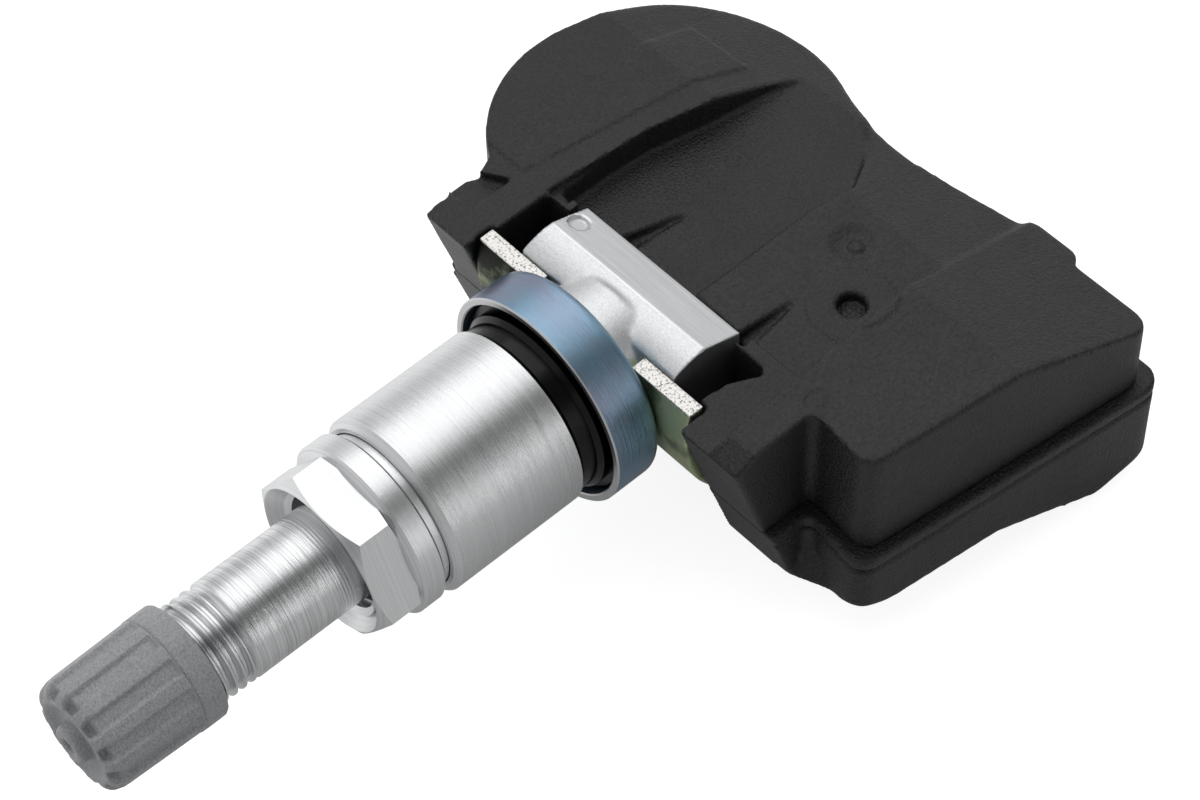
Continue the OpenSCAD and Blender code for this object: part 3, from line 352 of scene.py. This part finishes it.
def small_metal(name, dark, light, roughness):
    material, tree, place = start(name)
    fine = add(tree, "Mapping", Vector=place,
               Scale=cells(SMALL_GRAIN_MM, SMALL_GRAIN_MM, SMALL_GRAIN_MM))
    grain = add(tree, "TexNoise", Vector=fine.outputs[0], Scale=1.0, Detail=3.0)
    bump = add(tree, "Bump", Strength=0.2, Distance=0.03 * MM, Height=grain.outputs[0])
    tone = add(tree, "ValToRGB", Fac=grain.outputs[0])
    set_stops(tone, (0.35, paint(dark)), (0.65, paint(light)))
    metal = add(tree, "BsdfPrincipled", Base_Color=tone.outputs[0], Metallic=1.0,
                Roughness=roughness, Normal=bump.outputs[0])
    add(tree, "OutputMaterial", Surface=metal.outputs[0])
    return material


# Free-cutting brass, turned: a warm yellow
brass = small_metal("turned_brass", "#b08d4c", "#c9a765", 0.3)
# Drawn or rolled steel: a neutral bright grey
spring_steel = small_metal("bright_spring_steel", "#b6b8ba", "#cfd1d3", 0.28)
# Copper wire under clear enamel: a darker, redder metal
copper = small_metal("enamelled_copper_wire", "#a05a2c", "#bd7040", 0.32)
print("brass, spring steel and copper finishes made")

# %% [markdown]
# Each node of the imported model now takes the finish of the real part. The node's mesh and place
# stay as they are: only its material changes. Nodes that a finer piece replaces get theirs too,
# so that nothing is left plain.

# %% Give every node its finish
FINISHES = {
    cap_plastic: ["valve_cap"],
    rubber: ["cap_seal", "core_seal", "grommet", "port_seal"],
    red_rubber: ["core_gasket"],
    stem_metal: ["valve_stem"],
    nut_metal: ["hex_nut"],
    sleeve_metal: ["clamp_sleeve"],
    ring_steel: ["support_ring"],
    plate_steel: ["retainer_plate"],
    housing_plastic: ["upper_shell", "lower_tray"],
    brass: ["core_plug", "core_barrel", "core_pin", "core_cup", "aerial_strip"],
    spring_steel: ["core_spring", "coin_cell", "cell_tab_upper", "cell_tab_lower", "crystal"],
    copper: ["coil_winding"],
    package_plastic: ["pressure_sensor"],
    ferrite: ["coil_core"],
    board_resist: ["circuit_board"],
    ceramic: ["capacitors"],
}
for material, names in FINISHES.items():
    for name in names:
        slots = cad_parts[name].data.materials
        slots.clear()
        slots.append(material)
print(sum(len(names) for names in FINISHES.values()), "nodes have a finish")

# %% [markdown]
# A moulded shell has no sharp edges: the steel mould is cut with round tools and the plastic
# shrinks back a little. A bevel would trip over the many short edges where the forms meet, so a
# copy of each solid is merged and covered with a fine even skin of quads, which is then smoothed
# until its edges are as soft as the real ones.

# %% Helpers for skins
# Points nearer than this, in millimetres, are the same point
SAME = 0.001


def copied(node):
    """The mesh of a CAD node in a new bmesh, with its loose triangles joined."""
    shape = bmesh.new()
    shape.from_mesh(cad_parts[node].data)
    bmesh.ops.remove_doubles(shape, verts=shape.verts, dist=SAME * MM)
    return shape


def modified(shape, kind, **settings):
    """A shape with one modifier applied. The object that carries the modifier is removed."""
    data = bpy.data.meshes.new(kind)
    shape.to_mesh(data)
    shape.free()
    thing = bpy.data.objects.new(kind, data)
    bpy.context.collection.objects.link(thing)
    modifier = thing.modifiers.new(kind, kind)
    for name, value in settings.items():
        setattr(modifier, name, value)
    result = bmesh.new()
    result.from_object(thing, bpy.context.evaluated_depsgraph_get())
    bpy.data.objects.remove(thing)
    bpy.data.meshes.remove(data)
    return result


def skinned(shape, voxel_mm):
    """The same solid under an even skin of quads, each about voxel_mm wide."""
    return modified(shape, "REMESH", mode="VOXEL", voxel_size=voxel_mm * MM)


def thinned(shape, triangles):
    """Joins the quads of flat places until about this many triangles are left."""
    share = triangles / (2 * len(shape.faces))
    return modified(shape, "DECIMATE", ratio=min(1, share))


def softened(shape, rounds, where=None):
    """Smooths the skin, all of it or the points (in millimetres) for which where is true."""
    points = [v for v in shape.verts if where is None or where(v.co / MM)]
    for _ in range(rounds):
        bmesh.ops.smooth_vert(shape, verts=points, factor=0.5, use_axis_x=True,
                              use_axis_y=True, use_axis_z=True)
    return shape


# %% Helpers for moulded steps and corners
# A point whose normal rises more than this belongs to a top face
UPWARD = 0.7


def near(corner, reach):
    """Tells whether a point is within reach of a corner, both in millimetres."""
    middle = Vector(corner)
    return lambda p: (p - middle).length < reach


def raised(shape, height, where):
    """Lifts the top faces' points for which where is true, or sinks them if height is below 0."""
    shape.normal_update()
    for v in shape.verts:
        if v.normal.z > UPWARD and where(v.co / MM):
            v.co.z += height * MM


def pressed(shape, point, normal):
    """Moves every point beyond a plane back onto it, as a cut with a wide file does."""
    point, normal = Vector(point) * MM, Vector(normal).normalized()
    for v in shape.verts:
        beyond = (v.co - point).dot(normal)
        if beyond > 0:
            v.co -= normal * beyond


# %% Helper for finished pieces


def piece(name, shape, body, slot, material, *nodes, sharp=40):
    """Makes a piece of the object, which rides on a body and may stand for CAD nodes. Edges
    that turn by more than sharp degrees keep a crisp line in the shading."""
    limit = math.radians(sharp)
    for face in shape.faces:
        face.smooth = True
    for edge in shape.edges:
        edge.smooth = edge.calc_face_angle(0) < limit
    data = bpy.data.meshes.new(name)
    shape.to_mesh(data)
    shape.free()
    thing = bpy.data.objects.new(name, data)
    bpy.context.collection.objects.link(thing)
    data.materials.append(material)
    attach(thing, body)
    if nodes:
        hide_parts(*nodes)
    print(name, len(data.polygons), "faces")
    return thing


# %% [markdown]
# Most of the valve is turned on a lathe, and spin does the same in Blender: it carries a closed
# profile round the axis. A screw thread is spun too, with a step along the axis each time. A
# cylinder and a displacement would give the same forms, but with far more faces.

# %% Helpers for turned pieces
ROUND_STEPS, THREAD_STEPS = 128, 72
# A thread's ridge, as shares of its pitch: half its foot and half its flat crest
THREAD_FOOT, THREAD_FLAT = 0.45, 0.08


def turned(profile, steps=ROUND_STEPS):
    """Spins a closed profile of (radius, station) in millimetres round the valve's axis."""
    shape = bmesh.new()
    points = [shape.verts.new((r * MM, y * MM, 0)) for r, y in profile]
    lines = [shape.edges.new((points[i - 1], points[i])) for i in range(len(points))]
    bmesh.ops.spin(shape, geom=points + lines, cent=(0, 0, 0), axis=(0, 1, 0),
                   angle=2 * math.pi, steps=steps, use_merge=True)
    bmesh.ops.remove_doubles(shape, verts=shape.verts, dist=SAME * MM)
    bmesh.ops.recalc_face_normals(shape, faces=shape.faces)
    return shape


def thread(root, crest, start_at, end_at, pitch):
    """A helical ridge on the valve's axis, from radius root to radius crest."""
    shape = bmesh.new()
    profile = ((root, -THREAD_FOOT), (crest, -THREAD_FLAT), (crest, THREAD_FLAT),
               (root, THREAD_FOOT))
    points = [shape.verts.new((r * MM, (start_at + k * pitch) * MM, 0)) for r, k in profile]
    face = shape.faces.new(points)
    turns = (end_at - start_at) / pitch
    bmesh.ops.spin(shape, geom=[*points, *face.edges, face], cent=(0, 0, 0), axis=(0, 1, 0),
                   dvec=(0, pitch / THREAD_STEPS * MM, 0), angle=2 * math.pi * turns,
                   steps=round(turns * THREAD_STEPS))
    bmesh.ops.recalc_face_normals(shape, faces=shape.faces)
    return shape


def joined(*shapes):
    """Several shapes in one bmesh."""
    result = bmesh.new()
    for shape in shapes:
        data = bpy.data.meshes.new("part")
        shape.to_mesh(data)
        shape.free()
        result.from_mesh(data)
        bpy.data.meshes.remove(data)
    return result


# %% [markdown]
# The solid's air port is a bore right through, but the port in the picture is a narrower, shallow
# hole. A turned cup that fills the bore gives that. The stub beside it is where the plastic
# flowed in. Both go under the skin with the shell, so that they grow out of it without a seam.

# %% Air port and gate
PORT, GATE, GATE_HEIGHT = Vector((11.2, 21.8)), Vector((7.6, 25.8)), 3.55
# A profile that closes on the axis keeps a hole of this radius, which the skin covers
ON_AXIS = 0.01
BORE_R, HOLE_R = 1.7, 1.05
CUP_FOOT, CUP_FLOOR, CUP_RIM = 2.3, 2.95, 3.88
STUB_FOOT_R, STUB_TOP_R, STUB_HEIGHT, STUB_SIDES = 0.75, 0.5, 0.7, 14
CUP_STEPS = 64

cup = turned([(ON_AXIS, CUP_FOOT), (BORE_R, CUP_FOOT), (BORE_R, CUP_RIM), (HOLE_R, CUP_RIM),
              (HOLE_R, CUP_FLOOR), (ON_AXIS, CUP_FLOOR)], CUP_STEPS)
bmesh.ops.rotate(cup, verts=cup.verts, matrix=Matrix.Rotation(math.radians(90), 3, "X"))
bmesh.ops.translate(cup, verts=cup.verts, vec=(*PORT * MM, 0))
stub = bmesh.new()
bmesh.ops.create_cone(stub, cap_ends=True, segments=STUB_SIDES, radius1=STUB_FOOT_R * MM,
                      radius2=STUB_TOP_R * MM, depth=STUB_HEIGHT * MM)
bmesh.ops.translate(stub, verts=stub.verts, vec=(*GATE * MM, GATE_HEIGHT * MM))
print("port cup", len(cup.faces), "faces and gate stub", len(stub.faces), "faces")

# %% [markdown]
# The upper shell is the face that the picture looks at. On its flat tops a mould leaves small
# steps: the pad on the round lobe where an insert was ground in, the flat round the air port and
# the ring of an ejector pin. They are only a tenth of a millimetre high, too low to cut as solids
# of their own, so they are lifted out of the skin.

# %% Upper shell, its skin and steps
SHELL_SKIN = 0.17
PAD = [Vector(p) for p in ((-17.3, 12.9), (-16.2, 32.2), (-10.5, 32.6), (-13.3, 12.9))]
PAD_STEP, FLAT_STEP, EJECTOR_STEP = 0.12, 0.1, -0.08
FLAT_R = 3.3
EJECTOR, EJECTOR_INNER, EJECTOR_OUTER = Vector((16.3, 13.4)), 0.55, 0.85

shell = softened(skinned(joined(copied("upper_shell"), cup, stub), SHELL_SKIN), 2)
raised(shell, PAD_STEP, lambda p: p.x < -10 and intersect_point_quad_2d(p.xy, *PAD))
raised(shell, FLAT_STEP, lambda p: p.z > 3 and (p.xy - PORT).length < FLAT_R)
raised(shell, EJECTOR_STEP,
       lambda p: p.z > 5 and EJECTOR_INNER < (p.xy - EJECTOR).length < EJECTOR_OUTER)
print("shell's skin", len(shell.faces), "faces")

# %% [markdown]
# Where the lobe falls to the deck, and at the block's ends, the real edges are rounder than two
# rounds of smoothing make them. The arm's corner is rounder too. More rounds go to those places
# alone, and then the skin is thinned, because flat places don't need quads of 0.17 mm.

# %% Upper shell, its soft edges
SHELL_TRIANGLES = 180000
LOBE, LOBE_R = Vector((-10.2, 25)), 10.2
ARM_CORNER, ARM_REACH = (-15.5, 7.8, 4.6), 0.9


def lobe_side(p):
    """The upper half's slopes outside the lobe's flat top."""
    return p.z > 0 and p.x < 4 and (p.xy - LOBE).length > LOBE_R and p.y > 14


def block_ends(p):
    """The block's square end and its rear."""
    return p.z > 4.2 and p.x > 22 or p.z > 0 and p.y > 36.4 and p.x > 4


softened(shell, 12, lobe_side)
softened(shell, 8, block_ends)
softened(shell, 15, near(ARM_CORNER, ARM_REACH))
shell = thinned(softened(shell, 1), SHELL_TRIANGLES)
piece("upper_shell_skin", shell, "body", "housing_plastic", housing_plastic, "upper_shell")

# %% [markdown]
# The lower tray carries the block on a foot whose two front corners are cut off at a slant and
# well rounded. Cutting them from the solid would leave sharp facets, so the skin is pressed back
# onto two planes, as with a wide file, and smoothed there.

# %% Lower tray
# Each plane by a point on it and the way it faces
FRONT_CUT = ((22.7, 11.5, -10.5), (0.4, -0.4, -0.82))
REAR_CUT = ((26.1, 36.7, -13.3), (0.6, 0.2, -0.77))
TRAY_CORNER, TRAY_REACH = (-16.9, 8, -4.6), 1.8


def foot_front(p):
    """The foot's front edge and its outer edge below the block."""
    return p.z < -10 and p.x > 16 and p.y < 30 and (p.x > 22 or p.y < 13)


def foot_rear(p):
    """The foot's rear outer corner."""
    return p.x > 24.5 and p.y > 30 and p.z < -7


tray = softened(skinned(copied("lower_tray"), SHELL_SKIN), 1)
pressed(tray, *FRONT_CUT)
pressed(tray, *REAR_CUT)
softened(tray, 30, foot_front)
softened(tray, 20, foot_rear)
softened(tray, 40, near(TRAY_CORNER, TRAY_REACH))
tray = thinned(tray, SHELL_TRIANGLES)
piece("lower_tray_skin", tray, "body", "housing_plastic", housing_plastic, "lower_tray")

# %% [markdown]
# The stem is turned from bar in one piece with its cross bar. The solids leave out the valve
# thread at its slim end, so the turned part is spun again here from its profile, with the thread
# as a ridge: its section is spun too, and moves along the valve by a little at each step.

# %% Stem
TIP, PITCH = -36.9, 0.8
THREAD_ROOT, THREAD_CREST, THREAD_END = 3.38, 3.83, -26.3
LIP_R, SHANK_R, SHOULDER_R, NECK_R = 3.1, 3.85, 4.85, 4.6
MOUTH_R, CORE_R, AIR_R = 2.65, 2.05, 1.25
# Stations of the core's seat, the shoulder and the cut in front of the cross bar
MOUTH_END, CORE_END, AIR_START = -30.2, -19.4, -18.6
SHOULDER_START, SHOULDER_FULL, SHOULDER_END, CUT = -16, -15, -0.4, 1.0

stem = turned([
    (MOUTH_R, TIP), (LIP_R, TIP), (THREAD_ROOT, TIP + 0.4), (THREAD_ROOT, THREAD_END),
    (SHANK_R, THREAD_END + 0.5), (SHANK_R, SHOULDER_START), (SHOULDER_R, SHOULDER_FULL),
    (SHOULDER_R, SHOULDER_END), (NECK_R, SHOULDER_END), (NECK_R, CUT), (AIR_R, CUT),
    (AIR_R, AIR_START), (CORE_R, CORE_END), (CORE_R, MOUTH_END), (MOUTH_R, MOUTH_END)])
# The ridge starts a turn behind the lip and goes 0.1 mm into the metal at its root and end
ridge = thread(THREAD_ROOT - 0.1, THREAD_CREST, TIP + 0.9, THREAD_END + 0.1, PITCH)
piece("stem_turned", joined(stem, ridge), "body", "aluminium", stem_metal, "valve_stem",
      sharp=25)

# %% [markdown]
# The cross bar is machined and then blasted, which takes the edges off. The neck swells into a
# low boss and runs into the bar with a fillet. Both come from the skin again: a copy of the stem
# is cut off in front of the bar, and the ring where boss and bar meet is smoothed for longer.

# %% Cross bar
FINE_SKIN = 0.12
BAR_TRIANGLES = 120000
BOSS = [(4.3, 6.2), (5.5, 6.2), (5.75, 6.5), (5.8, 7.4), (5.8, 8.6), (5.95, 9.2), (5.9, 9.7),
        (4.3, 9.9)]


def fillet(p):
    """The ring where the boss meets the bar."""
    return 8 < p.y < 10.2 and 5 < p.xz.length < 7.6


bar = copied("valve_stem")
bmesh.ops.bisect_plane(bar, geom=[*bar.verts, *bar.edges, *bar.faces],
                       plane_co=(0, CUT * MM, 0), plane_no=(0, 1, 0), clear_inner=True)
bmesh.ops.bridge_loops(bar, edges=[e for e in bar.edges if e.is_boundary])
bar = softened(skinned(joined(bar, turned(BOSS)), FINE_SKIN), 2)
softened(bar, 30, fillet)
piece("cross_bar", thinned(bar, BAR_TRIANGLES), "body", "aluminium", bar_metal, "valve_stem")

# %% [markdown]
# Inside the nut's mouth the first turns of its own thread catch the light as thin bright rings.
# The solid nut has a plain bore, so the turns are a piece of their own that stands on its wall.

# %% Nut's thread
NUT_BORE_R, NUT_CREST_R = 4.98, 4.5
NUT_MOUTH, NUT_TURNS_END = -16.75, -15.7

nut_ridge = thread(NUT_BORE_R, NUT_CREST_R, NUT_MOUTH, NUT_TURNS_END, PITCH)
piece("nut_thread", nut_ridge, "nut", "aluminium", nut_metal)

# %% [markdown]
# The turning tool that forms the collar has a nose of its own, so the corner between the hexagon
# and the collar is a small cone and no sharp groove. It is turned as a ring that fills the corner.

# %% Nut's corner
corner = turned([(5.8, -14.5), (6.2, -14.42), (6.5, -14.27), (6.87, -13.95), (6.5, -13.85),
                 (5.8, -13.85)])
piece("nut_corner", corner, "nut", "aluminium", nut_metal)

# %% [markdown]
# The dust cap is a thin-walled moulding with twelve finger grooves, a rounded end with a small
# dimpled hub, and a plain band at its mouth. All of that but the grooves is turned, so it is spun
# first, with many stations along the side, because the grooves need points to move.

# %% Cap, its turned form
GROOVES = 12
STEPS_PER_GROOVE = 26
SIDE_START, SIDE_LENGTH, SIDE_STATIONS = -37.41, 6.21, 46
SIDE_R, SIDE_TAPER = 4.36, 0.14
# The end keeps a hole of this radius on the axis, far too small to see
POLE_R = 0.02

hub = [(POLE_R, -38.4), (0.46, -38.4), (0.5, -38.5), (0.55, -38.97), (0.7, -39.09),
       (0.95, -39.13), (1.2, -39.1), (1.38, -39.0), (1.46, -38.8), (1.5, -38.3)]
dish = [(1.62, -38.12), (1.9, -38.07), (2.3, -38.1), (2.6, -38.24), (2.85, -38.42)]
rim = [(3.1, -38.55), (3.35, -38.6), (3.6, -38.57), (3.78, -38.5), (3.92, -38.41),
       (4.02, -38.32), (4.09, -38.23), (4.15, -38.14), (4.19, -38.05), (4.22, -37.96),
       (4.25, -37.88), (4.27, -37.78), (4.3, -37.66), (4.33, -37.54)]
side = [(SIDE_R + SIDE_TAPER * k / SIDE_STATIONS, SIDE_START + SIDE_LENGTH * k / SIDE_STATIONS)
        for k in range(SIDE_STATIONS + 1)]
band = [(4.5, -31.16), (4.42, -31.1), (4.5, -31.02), (4.54, -30.9), (4.54, -30.4),
        (4.54, -29.9), (4.53, -29.42), (4.4, -29.2), (4.2, -29.15), (4.0, -29.17)]
bore = [(3.92, -29.3), (3.92, -37.75), (POLE_R, -37.75)]
cap = turned(hub + dish + rim + side + band + bore, steps=GROOVES * STEPS_PER_GROOVE)
print("cap turned with", len(cap.verts), "points")

# %% [markdown]
# Each groove starts in a scoop at the rim, where a finger finds it, and runs out at the band.
# Cutting twelve of them with a boolean would leave hard edges. Here each point of the side
# moves in towards the valve by the depth that the groove has at its station.

# %% Cap, its grooves
# Station along the valve and depth of the groove there
GROOVE_DEPTH = ((-38.62, 0.16), (-38.3, 0.36), (-37.4, 0.38), (-34, 0.33), (-31.4, 0.24),
                (-31.2, 0.0))
# The edge of a groove, from 0 in the middle of a rib to 1 in the middle of a groove
EDGE_START, EDGE_WIDTH = 0.42, 0.16
SCOOP_AT, SCOOP_HALF, SCOOP_DEPTH, SCOOP_WIDTH = -38.1, 0.42, 0.65, 0.7
BAND_START, BAND_DEPTH = -31, 0.035
# Inside this radius the end stays as it was turned
PLAIN_R = 3.25
# Behind the solid end the wall stays outside its own radius, because the bore is just inside it
WALL_R, WALL_START = 3.97, -37.79
BORE_LIMIT_R, BORE_LIMIT = 3.95, -37.8


def side_depth(y):
    """The groove's depth at a station, between the two nearest values."""
    for (y0, d0), (y1, d1) in zip(GROOVE_DEPTH, GROOVE_DEPTH[1:]):
        if y0 <= y <= y1:
            return d0 + (d1 - d0) * (y - y0) / (y1 - y0)
    return BAND_DEPTH if y > BAND_START else 0.0


def groove_depth(out, y, inside):
    """How far a point moves in, from its radius, its station and its place in the groove."""
    share = min(1, max(0, (inside - EDGE_START) / EDGE_WIDTH))
    share = share * share * (3 - 2 * share)
    along, across = (y - SCOOP_AT) / SCOOP_HALF, (1 - inside) / SCOOP_WIDTH
    scoop = SCOOP_DEPTH * max(0, 1 - along * along) * max(0, 1 - across * across)
    depth = side_depth(y) * share + scoop
    return min(depth, out - WALL_R) if y > WALL_START else depth


for v in cap.verts:
    out, y = math.hypot(v.co.x, v.co.z) / MM, v.co.y / MM
    if out < PLAIN_R or (out < BORE_LIMIT_R and y > BORE_LIMIT):
        continue
    turn = math.atan2(v.co.x, v.co.z) * GROOVES / (2 * math.pi)
    inside = 1 - abs((turn + 0.5) % 1 - 0.5) * 2
    depth = groove_depth(out, y, inside)
    v.co.x *= 1 - depth / out
    v.co.z *= 1 - depth / out
piece("valve_cap_moulded", cap, "cap", "cap_plastic", cap_plastic, "valve_cap", sharp=50)

# %% [markdown]
# The valve core's spring sits on the barrel with its rear end, and the pin's collar pushes its
# front end in. The spring is copied, and the copy is given a mesh of its own.

# %% Core spring
coil = copied("core_spring")
spring = piece("core_spring_coil", coil, "body", "spring_steel", spring_steel, "core_spring")
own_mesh(spring)

# %% [markdown]
# The plate is punched from plated sheet, so its edges are a little rounded. In the middle its
# upper edge dips under the neck's boss. A boolean cut would open the mesh at the bore, so the
# skin's points are lowered there, and the plate is skinned once more to even them out.

# %% Plate
DIP_HALF, DIP_TOP = 4.9, 3.6
PLATE_TRIANGLES = 60000

plate = skinned(copied("retainer_plate"), FINE_SKIN)
for v in plate.verts:
    if abs(v.co.x) < DIP_HALF * MM:
        v.co.z = min(v.co.z, DIP_TOP * MM)
plate = thinned(softened(skinned(plate, FINE_SKIN), 1), PLATE_TRIANGLES)
piece("retainer_plate_skin", plate, "body", "plated_steel", plate_steel, "retainer_plate")

# %% [markdown]
# The photograph's background is pure white. A pale paper floor lies under the sensor, and it adds
# light of its own for the camera, and some for reflections, so that it reads as white while the
# soft shadow stays. The metal sees more of it on the left than on the right, which leaves the
# shaded side of the valve something darker to show.

# %% Floor
FLOOR_Z, FLOOR_SIZE = cad_bounds[0][2], 3.0

mesh = bmesh.new()
bmesh.ops.create_grid(mesh, x_segments=1, y_segments=1, size=FLOOR_SIZE / 2)
bmesh.ops.translate(mesh, vec=(0, 0, FLOOR_Z), verts=mesh.verts)
floor = bpy.data.objects.new("floor", bpy.data.meshes.new("floor"))
mesh.to_mesh(floor.data)
mesh.free()
bpy.context.collection.objects.link(floor)
print("floor at", round(FLOOR_Z / MM, 2), "mm")

# %% Floor's paper
CAMERA_GLOW = 0.86
# The glow that reflections see, and the stations in x between which it fades
LEFT_GLOW, RIGHT_GLOW = 0.66, 0.14
LEFT_END, RIGHT_END = -30 * MM, 0.0

paper, tree, place = start("white_paper_floor")
path = add(tree, "LightPath")
mirrored = add(tree, "Math", {"operation": "MAXIMUM"}, _0=path.outputs["Is Glossy Ray"],
               _1=path.outputs["Is Transmission Ray"])
across = add(tree, "SeparateXYZ", Vector=place)
fade = add(tree, "MapRange", Value=across.outputs[0], From_Min=LEFT_END, From_Max=RIGHT_END,
           To_Min=LEFT_GLOW, To_Max=RIGHT_GLOW)
glint = add(tree, "Math", {"operation": "MULTIPLY"}, _0=mirrored.outputs[0],
            _1=fade.outputs[0])
glow = add(tree, "Math", {"operation": "MULTIPLY_ADD"}, _0=path.outputs["Is Camera Ray"],
           _1=CAMERA_GLOW, _2=glint.outputs[0])
matt = add(tree, "BsdfDiffuse", Color=paint("#c4c4c4"))
light = add(tree, "Emission", Strength=glow.outputs[0])
both = add(tree, "AddShader", _0=matt.outputs[0], _1=light.outputs[0])
add(tree, "OutputMaterial", Surface=both.outputs[0])
floor.data.materials.append(paper)
print("paper glows", CAMERA_GLOW, "for the camera")

# %% [markdown]
# A wide soft box hangs behind the valve's left shoulder and a narrow one stands on the right. Two
# large lamps give soft edges to the shadow and long highlights on the metal, as in a studio.

# %% Lamps


def soft_box(name, place_mm, width, height, watts):
    """A rectangular lamp, in metres, which faces the middle of the sensor."""
    lamp = bpy.data.lights.new(name, "AREA")
    lamp.shape = "RECTANGLE"
    lamp.size, lamp.size_y, lamp.energy = width, height, watts
    thing = bpy.data.objects.new(name, lamp)
    thing.location = Vector(place_mm) * MM
    thing.rotation_euler = (-thing.location).to_track_quat("-Z", "Y").to_euler()
    bpy.context.collection.objects.link(thing)
    print(name, watts, "W")


soft_box("top_box", (-150, 130, 400), 0.36, 0.5, 0.5)
soft_box("right_box", (390, 120, 140), 0.05, 0.5, 0.12)

# %% [markdown]
# The sky is a pale tent with a darker gap on the camera's side: turned metal shows that gap as
# the grey band between its two highlights. The tent's brightness depends only on the angle from
# straight up towards +X, which one ramp can hold.

# %% Tent
# Angle in degrees and brightness there
TENT = ((-180, 0.5), (-95, 0.6), (-75, 0.72), (-45, 0.72), (5, 0.66), (20, 0.2), (52, 0.14),
        (66, 0.5), (74, 0.6), (84, 0.45), (180, 0.4))

world = bpy.data.worlds.new("studio")
bpy.context.scene.world = world
world.use_nodes = True
tree = world.node_tree
tree.nodes.clear()
way = add(tree, "SeparateXYZ", Vector=add(tree, "TexCoord").outputs["Generated"])
lean = add(tree, "Math", {"operation": "ARCTAN2"}, _0=way.outputs[0], _1=way.outputs[2])
turn = add(tree, "MapRange", Value=lean.outputs[0], From_Min=-math.pi, From_Max=math.pi)
tent = add(tree, "ValToRGB", Fac=turn.outputs[0])
set_stops(tent, *[((angle + 180) / 360, (grey, grey, grey, 1)) for angle, grey in TENT])
sky = add(tree, "Background", Color=tent.outputs[0], Strength=1.0)
add(tree, "OutputWorld", Surface=sky.outputs[0])
bpy.context.scene.view_settings.view_transform = "Standard"
print("tent with", len(TENT), "stops")
